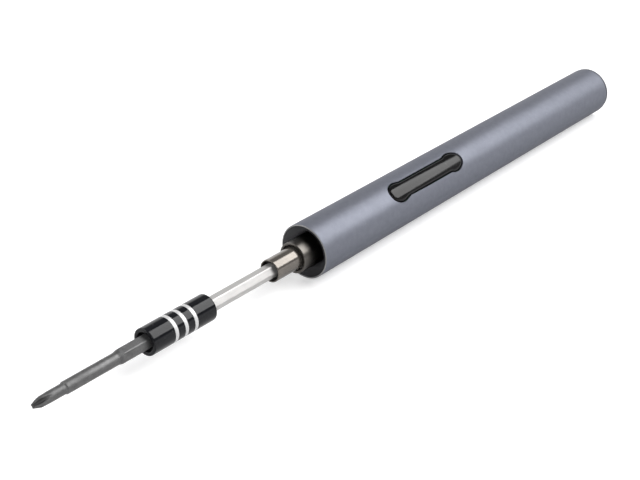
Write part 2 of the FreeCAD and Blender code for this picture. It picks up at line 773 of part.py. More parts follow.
def make_armature():
    """Laminated core with three poles."""
    outer = ARMATURE_DIA / 2
    shoe = Part.makeCylinder(outer, ARMATURE_LENGTH, Vector(armature_front, 0, 0), AXIS, POLE_SPAN)
    shoe = shoe.cut(rod(armature_front - OVERRUN, armature_back + OVERRUN, outer - ARMATURE_RIM))
    pole = turned(shoe, -POLE_SPAN / 2).fuse(armature_arm(0))
    hub = rod(armature_front, armature_back, ARMATURE_HUB_DIA / 2)
    core = hub.multiFuse(repeated(pole, POLE_COUNT)).removeSplitter()
    return core.cut(rod(armature_front - OVERRUN, armature_back + OVERRUN, shaft_r + PRESS_GAP))


def make_armature_coils():
    """One coil round each arm of the armature."""
    coil_floor = ARMATURE_HUB_DIA / 2 + END_GAP
    coil = block(armature_front - COIL_PROUD, armature_back + COIL_PROUD, COIL_WIDTH / 2,
                 coil_floor, coil_floor + COIL_HEIGHT)
    hole = armature_arm(PRESS_GAP)
    return Part.makeCompound(repeated(coil.cut(hole), POLE_COUNT))


def make_commutator():
    """Copper commutator on the shaft."""
    return ring(commutator_front, commutator_back, COMMUTATOR_DIA / 2, shaft_r + PRESS_GAP)


def make_motor_pinion():
    """Brass pinion, the first stage's sun."""
    hole = rod(stage1_front - OVERRUN, stage1_back + OVERRUN, shaft_r + PRESS_GAP)
    return sun_bar(stage1_front, stage1_back).cut(hole)


# Chassis, board and controls

board_half = math.sqrt(bore_r ** 2 - board_top ** 2) - BOARD_SIDE_GAP
screw_places = (rocker_place - screw_arm, rocker_place + screw_arm)
switch_places = (rocker_place - switch_arm, rocker_place + switch_arm)


def make_chassis():
    """Trough that carries the board and the battery, with a cradle round the motor."""
    front = motor_back - CRADLE_LENGTH
    cradle = ring(front, motor_back, plug_r, motor_r + FIT_GAP)
    trough = ring(front, chassis_back, plug_r, chassis_inner_r)
    trough = trough.cut(block(front - OVERRUN, chassis_back + OVERRUN, tube_r, board_bottom, tube_r))
    trough = trough.cut(rod(front - OVERRUN, motor_back, motor_r + FIT_GAP))
    pieces = [trough]
    for x in screw_places:
        pieces.append(post(x, 0, -chassis_inner_r - CHASSIS_WALL / 2, board_bottom, BOSS_DIA / 2))
    ribs = []
    wall_middle_r = plug_r - CHASSIS_WALL / 2
    for x in (battery_front + BATTERY_NUB_HEIGHT + RIB_THICK, battery_back - RIB_THICK - RIB_THICK):
        ribs.append(ring(x, x + RIB_THICK, wall_middle_r, battery_r + FIT_GAP))
    stop = battery_back + TAB_THICK + END_GAP
    ribs.append(rod(stop, stop + CHASSIS_WALL, wall_middle_r))
    for rib in ribs:
        bounds = rib.BoundBox
        lower = block(bounds.XMin, bounds.XMax, tube_r, -plug_r, -battery_r * RIB_TOP_SHARE)
        pieces.append(rib.common(lower))
    shelf = rod(charge_board_front, chassis_back, wall_middle_r)
    under = block(charge_board_front, chassis_back, SHELF_WIDTH / 2, -plug_r, charge_board_bottom)
    pieces.append(shelf.common(under))
    chassis = cradle.multiFuse(pieces).removeSplitter()
    hole_floor = board_top - SCREW_LENGTH - END_GAP
    for x in screw_places:
        chassis = chassis.cut(post(x, 0, hole_floor, board_top, SCREW_DIA / 2 + PRESS_GAP))
    return chassis


def make_main_board():
    """Circuit board on the chassis, under the rocker."""
    board = block(board_front, board_back, board_half, board_bottom, board_top)
    for x in screw_places:
        board = board.cut(post(x, 0, board_bottom - OVERRUN, board_top + OVERRUN, SCREW_DIA / 2 + FIT_GAP))
    return board


def make_board_screws():
    """Screws that hold the board to the chassis."""
    screws = []
    for x in screw_places:
        shank = post(x, 0, board_top - SCREW_LENGTH, board_top, SCREW_DIA / 2)
        head = post(x, 0, board_top, board_top + SCREW_HEAD_HEIGHT, SCREW_HEAD_DIA / 2)
        head_top = board_top + SCREW_HEAD_HEIGHT
        slot = block(x - SCREW_HEAD_DIA, x + SCREW_HEAD_DIA, SCREW_SLOT_WIDTH / 2,
                     head_top - SCREW_SLOT_DEPTH, head_top + OVERRUN)
        screws.append(shank.fuse(head).cut(slot))
    return Part.makeCompound(screws)


def make_board_parts():
    """Chips under the board: a pair between its screws and one behind the rear screw."""
    half = PART_SIDE / 2
    aside = half + PART_SPACE / 2
    behind = screw_places[1] + BOSS_DIA / 2 + PART_SPACE + half
    chips = []
    for x, y in ((rocker_place, aside), (rocker_place, -aside), (behind, 0)):
        chip = block(x - half, x + half, half, board_bottom - PART_HEIGHT, board_bottom)
        chip.translate(Vector(0, y, 0))
        chips.append(chip)
    return Part.makeCompound(chips)


def make_switch_bodies():
    """Two push switches on the board, each with a well for its plunger."""
    half = SWITCH_SIDE / 2
    top = board_top + SWITCH_HEIGHT
    bodies = []
    for x in switch_places:
        body = block(x - half, x + half, half, board_top, top)
        well = post(x, 0, board_top + SWITCH_FLOOR, top + OVERRUN, PLUNGER_DIA / 2 + FIT_GAP)
        bodies.append(body.cut(well))
    return Part.makeCompound(bodies)


def make_plunger(x):
    """Plunger of one switch."""
    return post(x, 0, plunger_bottom, plunger_top, PLUNGER_DIA / 2)


ear_inner = LUG_WIDTH / 2 + SIDE_GAP
ear_outer = ear_inner + EAR_THICK
ear_top = rocker_bottom - EAR_CLEARANCE


def make_rocker_bracket():
    """Bent bracket on the board with two ears for the rocker's pin."""
    front = rocker_place - BRACKET_LENGTH / 2
    back = rocker_place + BRACKET_LENGTH / 2
    ear_half = EAR_LENGTH / 2
    base = block(front, back, ear_outer, board_top, board_top + BRACKET_BASE)
    ears = block(rocker_place - ear_half, rocker_place + ear_half, ear_outer, board_top, ear_top)
    ears = ears.cut(block(front, back, ear_inner, board_top, ear_top + OVERRUN))
    bracket = base.fuse(ears).removeSplitter()
    return bracket.cut(cross_pin(rocker_place, pin_height, ear_outer + OVERRUN, PIN_DIA / 2 + PRESS_GAP))


def make_rocker():
    """Dog-bone rocker with a rounded crown and rim, and a lug on the pin."""
    key = dog_bone(ROCKER_GAP, rocker_bottom, rocker_top)
    crown = rod(rocker_place - WINDOW_LENGTH, rocker_place + WINDOW_LENGTH, ROCKER_CROWN_DIA / 2)
    crown.translate(Vector(0, 0, rocker_top - ROCKER_CROWN_DIA / 2))
    key = key.common(crown)
    foot = rocker_bottom + ROCKER_THICK * ROCKER_FOOT_SHARE
    rim = [edge for edge in key.Edges if edge.BoundBox.ZMin > foot]
    wall = min(edge.BoundBox.ZMin for edge in rim) - rocker_bottom
    key = key.makeFillet(min(ROCKER_EDGE, wall * ROCKER_EDGE_TO_WALL_SHARE), rim)
    stem = block(rocker_place - LUG_DIA / 2, rocker_place + LUG_DIA / 2, LUG_WIDTH / 2, pin_height,
                 rocker_bottom + ROCKER_THICK / 2)
    lug = cross_pin(rocker_place, pin_height, LUG_WIDTH / 2, LUG_DIA / 2)
    rocker = key.multiFuse([stem, lug]).removeSplitter()
    return rocker.cut(cross_pin(rocker_place, pin_height, LUG_WIDTH, PIN_DIA / 2 + RUN_GAP))


def make_rocker_pin():
    """Pin that the rocker tilts on."""
    return cross_pin(rocker_place, pin_height, ear_outer, PIN_DIA / 2)


# Battery and charge socket

def make_battery():
    """Round cell with its positive nub to the front."""
    can_front = battery_front + BATTERY_NUB_HEIGHT
    can = chamfered_rod(can_front, battery_back, battery_r, BATTERY_EDGE, BATTERY_EDGE)
    nub = rod(battery_front, can_front, BATTERY_NUB_DIA / 2)
    return can.fuse(nub).removeSplitter()


def make_battery_tabs():
    """Flat tabs welded on the battery's ends."""
    half = TAB_HEIGHT / 2
    front = block(battery_front - TAB_THICK, battery_front, TAB_WIDTH / 2, -half, half)
    back = block(battery_back, battery_back + TAB_THICK, TAB_WIDTH / 2, -half, half)
    return Part.makeCompound([front, back])


def make_charge_board():
    """Small board that carries the charge socket."""
    return block(charge_board_front, charge_board_back, CHARGE_BOARD_WIDTH / 2,
                 charge_board_bottom, socket_bottom)


def make_charge_socket():
    """Folded steel shell of the charge socket, open to the tail."""
    mouth = tail - SOCKET_INSET
    back = mouth - SOCKET_LENGTH
    shell = slot_bar(back, mouth, SOCKET_WIDTH, SOCKET_HEIGHT)
    inside = slot_bar(back - OVERRUN, mouth + OVERRUN,
                      SOCKET_WIDTH - 2 * SOCKET_WALL, SOCKET_HEIGHT - 2 * SOCKET_WALL)
    return shell.cut(inside)


def make_charge_tongue():
    """Insulator that closes the socket's back and holds the contact tongue."""
    mouth = tail - SOCKET_INSET
    back = mouth - SOCKET_LENGTH
    wall = SOCKET_WALL + FIT_GAP
    base = slot_bar(back, back + SOCKET_BACK, SOCKET_WIDTH - 2 * wall, SOCKET_HEIGHT - 2 * wall)
    tongue = block(back, mouth - TONGUE_INSET, TONGUE_WIDTH / 2, -TONGUE_THICK / 2, TONGUE_THICK / 2)
    return base.fuse(tongue).removeSplitter()


# Inside leads

def make_motor_leads():
    """Two leads from the motor's terminals to the board's underside."""
    y = TERMINAL_OFFSET + TERMINAL_THICK / 2
    start = motor_back + TERMINAL_LENGTH
    turn = board_front + LEAD_REACH
    return Part.makeCompound([
        lead([Vector(start, side * y, 0), Vector(turn, side * y, 0), Vector(turn, side * y, board_bottom)])
        for side in (1, -1)])


def side_lead(start, side, height):
    """Lead beside the battery to the board's underside, from its first points on."""
    beside = math.sqrt(lead_path_r ** 2 - height ** 2)
    turn = battery_front - LEAD_SETBACK
    foot = board_back - LEAD_REACH
    return lead(start + [
        Vector(start[-1].x, side * beside, height),
        Vector(turn, side * beside, height),
        Vector(foot, side * LEAD_INSET, height),
        Vector(foot, side * LEAD_INSET, board_bottom)])


def make_battery_leads():
    """Leads from the battery's two tabs to the board."""
    foot = board_back - LEAD_REACH
    front_tab = battery_front - TAB_THICK
    positive = lead([Vector(front_tab, 0, 0), Vector(foot, 0, 0), Vector(foot, 0, board_bottom)])
    back_tab = battery_back + TAB_THICK
    bend = back_tab + LEAD_DIA + LEAD_BEND
    y = -TAB_WIDTH * LEAD_TAB_SHARE
    start = [Vector(back_tab, y, LEAD_HEIGHT), Vector(bend, y, LEAD_HEIGHT)]
    negative = side_lead(start, -1, LEAD_HEIGHT)
    return Part.makeCompound([positive, negative])


def make_charge_leads():
    """Two leads from the charge board, beside the battery, to the main board."""
    x = charge_board_front + LEAD_REACH
    leads = []
    for step in (0, LEAD_PITCH):
        height = LEAD_HEIGHT - step
        foot = Vector(x - step, LEAD_INSET, socket_bottom)
        leads.append(side_lead([foot, Vector(foot.x, foot.y, height)], 1, height))
    return Part.makeCompound(leads)


# Extension and bit

def make_extension_rod():
    """Hex rod with eased corners, from the chuck's magnet to the sleeve's."""
    stock = rod(rod_front, rod_rear, HEX_CORNER_DIA / 2)
    return hex_bar(rod_front, rod_rear, HEX_ACROSS, ROD_ROLL).common(stock)


def band_starts():
    """Front edge of each bright band on the sleeve."""
    first = sleeve_front + BAND_PLACE - BAND_WIDTH / 2
    return [first + BAND_PITCH * number for number in range(BAND_COUNT)]


def make_extension_sleeve():
    """Turned sleeve that joins the rod to the bit, with a hex socket and grooves for its bands."""
    sleeve = chamfered_rod(sleeve_front, sleeve_rear, sleeve_r, SLEEVE_EDGE, SLEEVE_EDGE)
    mouth = rod(sleeve_front - OVERRUN, sleeve_front + SLEEVE_MOUTH_DEPTH, SLEEVE_MOUTH_DIA / 2)
    sleeve = sleeve.cut(mouth)
    sleeve = sleeve.cut(hex_bar(sleeve_front, rod_front, SOCKET_ACROSS, BIT_ROLL))
    sleeve = sleeve.cut(hex_bar(rod_front, sleeve_rear + OVERRUN, HEX_ACROSS + 2 * PRESS_GAP, ROD_ROLL))
    for x in band_starts():
        sleeve = sleeve.cut(ring(x, x + BAND_WIDTH, sleeve_r + OVERRUN, sleeve_r - BAND_DEPTH))
    return sleeve


def make_sleeve_bands():
    """Bright rings seated in the sleeve's grooves."""
    return Part.makeCompound([ring(x, x + BAND_WIDTH, sleeve_r, sleeve_r - BAND_DEPTH + PRESS_GAP)
                              for x in band_starts()])


def make_driver_bit():
    """Hex bit turned down to a round shank and neck, with a fluted cross tip."""
    hex_front = bit_rear - BIT_HEX_LENGTH
    taper_front = hex_front - BIT_TAPER
    neck_rear = bit_tip + NECK_LENGTH
    corner_r = HEX_CORNER_DIA / 2
    shank_r = SHANK_DIA / 2
    neck_r = NECK_DIA / 2
    profile = [
        (bit_rear, 0), (bit_rear, corner_r - BIT_REAR_EDGE), (bit_rear - BIT_REAR_EDGE, corner_r),
        (hex_front, corner_r), (taper_front, shank_r),
        (neck_rear + NECK_STEP, shank_r), (neck_rear, neck_r),
        (bit_tip + TIP_LENGTH, neck_r), (bit_tip, TIP_END_DIA / 2), (bit_tip, 0), (bit_rear, 0)]
    outline = Part.makePolygon([Vector(x, 0, r) for x, r in profile])
    bit = Part.Face(outline).revolve(ORIGIN, AXIS, 360)
    stock = hex_bar(taper_front, bit_rear, HEX_ACROSS, BIT_ROLL)
    bit = bit.common(stock.fuse(rod(bit_tip - OVERRUN, taper_front, corner_r)))
    sink = neck_r - TIP_WEB
    slope = Vector(-FLUTE_LENGTH, 0, -sink)
    start = Vector(bit_tip + FLUTE_LENGTH, 0, neck_r + FLUTE_DIA / 2)
    reach = OVERRUN / FLUTE_LENGTH
    flute_length = slope.Length * (1 + 2 * reach)
    flute = Part.makeCylinder(FLUTE_DIA / 2, flute_length, start - slope * reach, slope)
    flutes = repeated(turned(flute, FLUTE_ROLL), FLUTE_COUNT)
    return bit.cut(Part.makeCompound(flutes))


# All nodes

def make_nodes():
    """Every piece of the tool by its node's name."""
    nodes = {
        "handle_tube": make_handle_tube(),
        "tail_cap": make_tail_cap(),
        "nose_bezel": make_nose_bezel(),
        "lamp_lenses": make_lamp_lenses(),
        "lamp_board": make_lamp_board(),
        "lamp_chips": make_lamp_chips(),
        "gearbox_housing": make_gearbox_housing(),
        "spindle_bush": make_spindle_bush(),
        "thrust_washer": make_thrust_washer(),
        "gearbox_end_plate": make_end_plate(),
        "chuck_spindle": make_spindle(),
        "spindle_clip": make_spindle_clip(),
        "chuck_magnet": magnet(chuck_magnet_front),
        "second_planet_pins": make_planet_pins(carrier2_back, stage2_back),
        "first_carrier": make_first_carrier(),
        "first_planet_pins": make_planet_pins(carrier1_back, stage1_back),
        "motor_can": make_motor_can(),
        "motor_bushes": make_motor_bushes(),
        "motor_magnets": make_motor_magnets(),
        "motor_end_bell": make_end_bell(),
        "motor_brushes": make_motor_brushes(),
        "motor_terminals": make_motor_terminals(),
        "motor_shaft": make_motor_shaft(),
        "armature_core": make_armature(),
        "armature_coils": make_armature_coils(),
        "commutator": make_commutator(),
        "motor_pinion": make_motor_pinion(),
        "chassis": make_chassis(),
        "main_board": make_main_board(),
        "board_screws": make_board_screws(),
        "board_parts": make_board_parts(),
        "switch_bodies": make_switch_bodies(),
        "front_plunger": make_plunger(switch_places[0]),
        "rear_plunger": make_plunger(switch_places[1]),
        "rocker_bracket": make_rocker_bracket(),
        "rocker_pin": make_rocker_pin(),
        "rocker_button": make_rocker(),
        "battery_cell": make_battery(),
        "battery_tabs": make_battery_tabs(),
        "charge_board": make_charge_board(),
        "charge_socket": make_charge_socket(),
        "charge_tongue": make_charge_tongue(),
        "motor_leads": make_motor_leads(),
        "battery_leads": make_battery_leads(),
        "charge_leads": make_charge_leads(),
        "extension_rod": make_extension_rod(),
        "extension_sleeve": make_extension_sleeve(),
        "sleeve_bands": make_sleeve_bands(),
        "extension_magnet": magnet(extension_magnet_front),
        "driver_bit": make_driver_bit(),
    }
    for stage, front in (("first", stage1_front), ("second", stage2_front)):
        for number, planet in enumerate(make_planets(front), start=1):
            nodes[f"{stage}_planet_{number}"] = planet
    return nodes


def place(shape):
    """Roll the tool on its side, centre its length and stand it on the floor."""
    placed = turned(shape, ROCKER_ROLL)
    placed.translate(Vector(-middle, 0, tube_r))
    return placed


os.makedirs("parts", exist_ok=True)
for name, shape in make_nodes().items():
    place(shape).exportStep(os.path.join("parts", f"{name}.step"))
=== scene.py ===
"""Looks of a pen-shaped electric screwdriver with a pull-out extension, lying on a pale floor."""
import json
import logging
import math
from dataclasses import dataclass
from enum import Enum
from typing import Callable, Iterable, Sequence

import bmesh
import bpy
from bmesh.types import BMEdge, BMesh, BMVert
from mathutils import Matrix, Vector

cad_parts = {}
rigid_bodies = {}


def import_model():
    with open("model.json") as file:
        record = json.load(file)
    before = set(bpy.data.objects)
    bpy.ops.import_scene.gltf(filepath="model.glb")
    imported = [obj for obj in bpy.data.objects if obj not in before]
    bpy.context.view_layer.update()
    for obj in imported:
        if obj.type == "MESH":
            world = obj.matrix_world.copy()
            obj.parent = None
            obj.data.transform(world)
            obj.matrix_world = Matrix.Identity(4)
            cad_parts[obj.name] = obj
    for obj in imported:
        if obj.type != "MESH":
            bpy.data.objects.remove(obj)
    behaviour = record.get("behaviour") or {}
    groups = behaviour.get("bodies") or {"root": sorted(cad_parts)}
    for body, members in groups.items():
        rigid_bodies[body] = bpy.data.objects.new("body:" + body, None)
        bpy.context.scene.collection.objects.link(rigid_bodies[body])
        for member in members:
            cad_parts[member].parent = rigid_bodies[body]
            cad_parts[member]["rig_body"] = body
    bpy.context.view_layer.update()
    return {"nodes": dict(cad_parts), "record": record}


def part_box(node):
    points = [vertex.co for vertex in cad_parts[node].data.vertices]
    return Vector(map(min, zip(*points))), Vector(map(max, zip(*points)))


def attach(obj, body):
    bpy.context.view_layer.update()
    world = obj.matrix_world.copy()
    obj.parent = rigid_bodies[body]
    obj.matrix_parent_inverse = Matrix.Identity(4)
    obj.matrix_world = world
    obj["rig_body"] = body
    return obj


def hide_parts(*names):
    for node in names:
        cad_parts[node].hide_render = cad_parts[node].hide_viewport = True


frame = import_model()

log = logging.getLogger("screwdriver")

MM = 0.001
# Turn of the tool about its axis that brings the rocker to the photograph's side
ROLL_DEG = 39.0
# Points round a section
FINE_TURN = 192
FLATS_TURN = 240
TUBE_TURN = 288
LENS_TURN = 48
POINTS_PER_TOOTH = 8
# Least turn between two faces that stays a sharp edge
SMOOTH_DEG = 32.0
# Largest share of a run that the rounding of one corner takes up
CORNER_SHARE = 0.45
# Lengths in millimetres: as good as nothing, past a cut, past the window's flare, past everything
NEAR = 1e-4
OVERRUN = 1.0
FLARE_SPARE = 0.05
FAR = 1000.0
# Power of a square metre of a light's face at a brightness of one
FACE_WATTS = 4.0
DUST = (0.55, 0.54, 0.52)
DUST_SHARE = 0.12
# Colour sockets of the Mix node
MIX_LOW, MIX_HIGH, MIX_RESULT = 6, 7, 2

Color = tuple[float, float, float]
Span = tuple[float, float]
Profile = Sequence[tuple[float, float]]
Rule = Callable[[float], float]


def tool_matrix() -> Matrix:
    """Matrix from the tool's own frame in millimetres to the row frame.

    Returns:
        The tool's axis lies on X with the handle's front end at zero and the rocker up.
    """
    low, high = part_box("handle_tube")
    place = Matrix.Translation((low.x, 0.0, (low.z + high.z) / 2))
    return place @ Matrix.Rotation(math.radians(ROLL_DEG), 4, "X") @ Matrix.Scale(MM, 4)


TOOL = tool_matrix()
# Steel parts seen through the rocker's window gap, darkened to near black as painted shade in the gap
GAP_SHADE_NODES = ("rocker_bracket", "rocker_pin")
SLOTS = {part["node"]: part["material_slot"] for part in frame["record"]["subparts"]}


# Shape helpers

@dataclass(frozen=True)
class Station:
    """One cross-section along the axis: its place and its radius for each angle."""

    x: float
    rule: Rule


def round_rule(radius: float) -> Rule:
    """Circle round the axis."""
    return lambda angle: radius


def hex_rule(across: float, corner_r: float, roll_deg: float) -> Rule:
    """Hexagon with eased corners.

    Args:
        across: Size across flats.
        corner_r: Radius that the corners are turned down to.
        roll_deg: Angle of one flat, counted from the rocker's side.

    Returns:
        Radius for each angle.
    """
    sixth = math.radians(60.0)

    def rule(angle: float) -> float:
        """Radius at an angle."""
        off_flat = (angle - math.radians(roll_deg) + sixth / 2) % sixth - sixth / 2
        return min(corner_r, across / 2 / math.cos(off_flat))

    return rule


def double_d_rule(radius: float, half_width: float, roll_deg: float) -> Rule:
    """Circle with two flat sides, and its long way at an angle from the rocker's side."""
    roll = math.radians(roll_deg)
    return lambda angle: min(radius, half_width / max(abs(math.sin(angle - roll)), NEAR))


def oval_rule(width: float, height: float) -> Rule:
    """Flat oval, wide across the rocker's plane.

    Args:
        width: Whole width.
        height: Whole height.

    Returns:
        Radius for each angle.
    """
    flat = (width - height) / 2
    end_r = height / 2

    def rule(angle: float) -> float:
        """Radius at an angle.

        Args:
            angle: Angle round the axis from the rocker's side.

        Returns:
            The radius there.
        """
        side, up = abs(math.sin(angle)), abs(math.cos(angle))
        if end_r * side <= flat * up:
            return end_r / up
        return side * flat + math.sqrt(max(end_r ** 2 - (flat * up) ** 2, 0.0))

    return rule


def grooved_rule(body: Rule, distance: float, groove_r: float, count: int, roll_deg: float) -> Rule:
    """A section with round grooves cut along it.

    Args:
        body: Section before it is grooved.
        distance: Distance of the grooves' centres from the axis.
        groove_r: Radius of each groove.
        count: Number of grooves, spread evenly.
        roll_deg: Angle of the first groove, counted from the rocker's side.

    Returns:
        Radius for each angle.
    """
    pitch = math.tau / count

    def rule(angle: float) -> float:
        """Radius at an angle.

        Args:
            angle: Angle round the axis from the rocker's side.

        Returns:
            The radius there.
        """
        off = (angle - math.radians(roll_deg) + pitch / 2) % pitch - pitch / 2
        reach = groove_r ** 2 - (distance * math.sin(off)) ** 2
        if reach <= 0 or abs(off) > math.pi / 2:
            return body(angle)
        return min(body(angle), max(distance * math.cos(off) - math.sqrt(reach), NEAR))

    return rule


def toothed_rule(pitch_r: float, depth: float, count: int) -> Rule:
    """Inner gear teeth as flattened waves."""
    steep = 2.2
    return lambda angle: pitch_r - depth / 2 * max(-1.0, min(1.0, steep * math.cos(count * angle)))


def eased(points: Profile, ease: float, steps: int = 3) -> list[Span]:
    """Round the inner corners of a profile.

    Args:
        points: Places along the axis with their radii.
        ease: Length taken off each side of a corner.
        steps: Runs that each rounded corner is made of.

    Returns:
        The finer profile.
    """
    corners = [Vector(point) for point in points]
    made = [tuple(corners[0])]
    for before, corner, after in zip(corners, corners[1:], corners[2:]):
        cut_in = min(ease, (before - corner).length * CORNER_SHARE)
        cut_out = min(ease, (after - corner).length * CORNER_SHARE)
        start = corner + (before - corner).normalized() * cut_in
        end = corner + (after - corner).normalized() * cut_out
        for step in range(steps + 1):
            t = step / steps
            made.append(tuple(start * (1 - t) ** 2 + corner * 2 * t * (1 - t) + end * t ** 2))
    made.append(tuple(corners[-1]))
    return made


def round_stations(points: Profile) -> list[Station]:
    """Round cross-sections from a profile."""
    return [Station(x, round_rule(radius)) for x, radius in points]


def put_on(verts: Iterable[BMVert], station: Station) -> None:
    """Put a loop of vertices on a cross-section, each at its own angle.

    Args:
        verts: Vertices of the loop.
        station: Cross-section that they go to.
    """
    for vert in verts:
        angle = math.atan2(-vert.co.y, vert.co.z)
        radius = station.rule(angle)
        vert.co = (station.x, -radius * math.sin(angle), radius * math.cos(angle))


def loft(stations: Sequence[Station], segments: int = FINE_TURN, closed: bool = False) -> BMesh:
    """Skin through cross-sections along the axis.

    Args:
        stations: Cross-sections in order.
        segments: Points round each cross-section.
        closed: True for a shell whose last section meets its first.

    Returns:
        A closed mesh in the tool's frame.
    """
    mesh = bmesh.new()
    verts = bmesh.ops.create_circle(mesh, cap_ends=False, segments=segments, radius=1.0)["verts"]
    bmesh.ops.rotate(mesh, verts=verts, cent=(0, 0, 0), matrix=Matrix.Rotation(math.pi / 2, 3, "Y"))
    put_on(verts, stations[0])
    edges = list(mesh.edges)
    for station in [*stations[1:], *(stations[:1] if closed else [])]:
        made = bmesh.ops.extrude_edge_only(mesh, edges=edges)["geom"]
        fresh = {item for item in made if isinstance(item, BMVert)}
        put_on(fresh, station)
        edges = [item for item in made if isinstance(item, BMEdge) and fresh.issuperset(item.verts)]
    if closed:
        bmesh.ops.remove_doubles(mesh, verts=mesh.verts, dist=NEAR)
    else:
        rims = [edge for edge in mesh.edges if edge.is_boundary]
        bmesh.ops.holes_fill(mesh, edges=rims, sides=0)
    return mesh


class Pen:
    """Draws a flat outline of runs and arcs."""

    def __init__(self, mesh: BMesh, start: Sequence[float], normal: Sequence[float]) -> None:
        """Put the pen down.

        Args:
            mesh: Mesh that the outline is drawn in.
            start: First point.
            normal: Direction that arcs turn about.
        """
        self.mesh = mesh
        self.normal = normal
        self.first = self.tip = bmesh.ops.create_vert(mesh, co=start)["vert"][0]

    def run(self, point: Sequence[float]) -> None:
        """Draw a straight run to a point."""
        self.tip = bmesh.ops.extrude_vert_indiv(self.mesh, verts=[self.tip])["verts"][0]
        self.tip.co = point

    def arc(self, centre: Sequence[float], angle: float, steps: int) -> None:
        """Draw an arc.

        Args:
            centre: Point that the arc goes round.
            angle: Turn of the arc in radians.
            steps: Runs that the arc is made of.
        """
        made = bmesh.ops.spin(self.mesh, geom=[self.tip], cent=centre, axis=self.normal,
                              angle=angle, steps=steps, use_duplicate=False)
        self.tip = next(item for item in made["geom_last"] if isinstance(item, BMVert))

    def close(self) -> None:
        """Join the last point to the first one."""
        bmesh.ops.contextual_create(self.mesh, geom=[self.tip, self.first])
        bmesh.ops.remove_doubles(self.mesh, verts=self.mesh.verts, dist=NEAR)


def turned(points: Profile, segments: int = FINE_TURN) -> BMesh:
    """Body of revolution from a closed profile.

    Args:
        points: Corners of the profile: places along the axis with their radii.
        segments: Steps of the turn.

    Returns:
        The closed mesh in the tool's frame.
    """
    mesh = bmesh.new()
    pen = Pen(mesh, (points[0][0], 0.0, points[0][1]), (0, 1, 0))
    for x, radius in points[1:]:
        pen.run((x, 0.0, radius))
    pen.close()
    bmesh.ops.spin(mesh, geom=mesh.verts[:] + mesh.edges[:], cent=(0, 0, 0), axis=(1, 0, 0),
                   angle=math.tau, steps=segments, use_merge=True, use_duplicate=False)
    bmesh.ops.remove_doubles(mesh, verts=mesh.verts, dist=NEAR)
    bmesh.ops.recalc_face_normals(mesh, faces=mesh.faces)
    return mesh


def ease_edges(mesh: BMesh, width: float, steps: int, least_deg: float = 40.0) -> None:
    """Round the sharp edges of a mesh.

    Args:
        mesh: Mesh to change.
        width: Width taken off each side of an edge.
        steps: Segments of each rounded edge.
        least_deg: Least turn between the faces of a sharp edge.
    """
    least = math.radians(least_deg)
    sharp = [edge for edge in mesh.edges if edge.is_manifold and edge.calc_face_angle() > least]
    bmesh.ops.bevel(mesh, geom=sharp, offset=width, offset_type="OFFSET", affect="EDGES",
                    segments=steps, profile=0.5, material=-1, clamp_overlap=True)


def joined(meshes: Iterable[BMesh]) -> BMesh:
    """Gather meshes in one.

    Args:
        meshes: Meshes to gather; they are freed.

    Returns:
        The one mesh.
    """
    whole = bmesh.new()
    for mesh in meshes:
        data = bpy.data.meshes.new("part")
        mesh.to_mesh(data)
        mesh.free()
        whole.from_mesh(data)
        bpy.data.meshes.remove(data)
    return whole


def placed(name: str, data: bpy.types.ID) -> bpy.types.Object:
    """Put a mesh, a light or a camera in the scene.

    Args:
        name: Name of the object.
        data: What the object shows.

    Returns:
        The object, at the origin.
    """
    made = bpy.data.objects.new(name, data)
    bpy.context.scene.collection.objects.link(made)
    return made


def placed_mesh(name: str, mesh: BMesh) -> bpy.types.Object:
    """Put a mesh that is being made in the scene.

    Args:
        name: Name of the object.
        mesh: Mesh of the object; it is freed.

    Returns:
        The object, at the origin.
    """
    data = bpy.data.meshes.new(name)
    mesh.to_mesh(data)
    mesh.free()
    return placed(name, data)


@dataclass(frozen=True)
class Bone:
    """Dog-bone outline: a tip and two shoulders at each end, with hollows and a straight waist."""

    centre_x: float
    length: float
    width: float
    waist: float
    tip_r: float
    shoulder_r: float
    hollow_r: float
    hollow_steps: int = 8
    shoulder_steps: int = 18
    tip_steps: int = 24

    def draw(self, mesh: BMesh, z: float) -> None:
        """Draw the outline anticlockwise.

        Args:
            mesh: Mesh that the outline is drawn in.
            z: Height of the outline.
        """
        bulge = self.shoulder_r - self.width / 2
        tip_x = self.length / 2 - self.tip_r
        shoulder_x = tip_x - math.sqrt((self.shoulder_r - self.tip_r) ** 2 - bulge ** 2)
        hollow_y = self.waist / 2 + self.hollow_r
        reach = self.shoulder_r + self.hollow_r
        waist_x = shoulder_x - math.sqrt(reach ** 2 - (hollow_y + bulge) ** 2)
        hollow_turn = math.atan2(shoulder_x - waist_x, hollow_y + bulge)
        tip_turn = math.atan2(tip_x - shoulder_x, bulge)
        pen = Pen(mesh, (self.centre_x - waist_x, -self.waist / 2, z), (0, 0, 1))
        for side in (1, -1):
            def at(x: float, y: float) -> tuple[float, float, float]:
                """A point of this end."""
                return (self.centre_x + side * x, side * y, z)
            pen.run(at(waist_x, -self.waist / 2))
            pen.arc(at(waist_x, -hollow_y), -hollow_turn, self.hollow_steps)
            pen.arc(at(shoulder_x, bulge), hollow_turn + tip_turn, self.shoulder_steps)
            pen.arc(at(tip_x, 0), math.pi - 2 * tip_turn, self.tip_steps)
            pen.arc(at(shoulder_x, -bulge), hollow_turn + tip_turn, self.shoulder_steps)
            pen.arc(at(waist_x, hollow_y), -hollow_turn, self.hollow_steps)
        pen.close()


def outward(vert: BMVert) -> Vector:
    """Direction out of a flat loop of edges drawn anticlockwise.

    Args:
        vert: Vertex of the loop.

    Returns:
        Direction at that vertex, of length one.
    """
    sides = [edge.other_vert(vert).co - vert.co for edge in vert.link_edges]
    normals = [Vector((-side.y, side.x, 0)).normalized() for side in sides]
    first, second = normals
    mean = first - second
    return mean.normalized() if mean.length > NEAR else first


# Finishes

class Grain(Enum):
    """What the fine structure of a surface follows."""

    BLASTED = "even fine grain"
    TURNED = "fine rings round the axis"
    DRAWN = "fine lines along the axis"
    MOULDED = "soft moulded grain"
    WOUND = "closely wound wire"


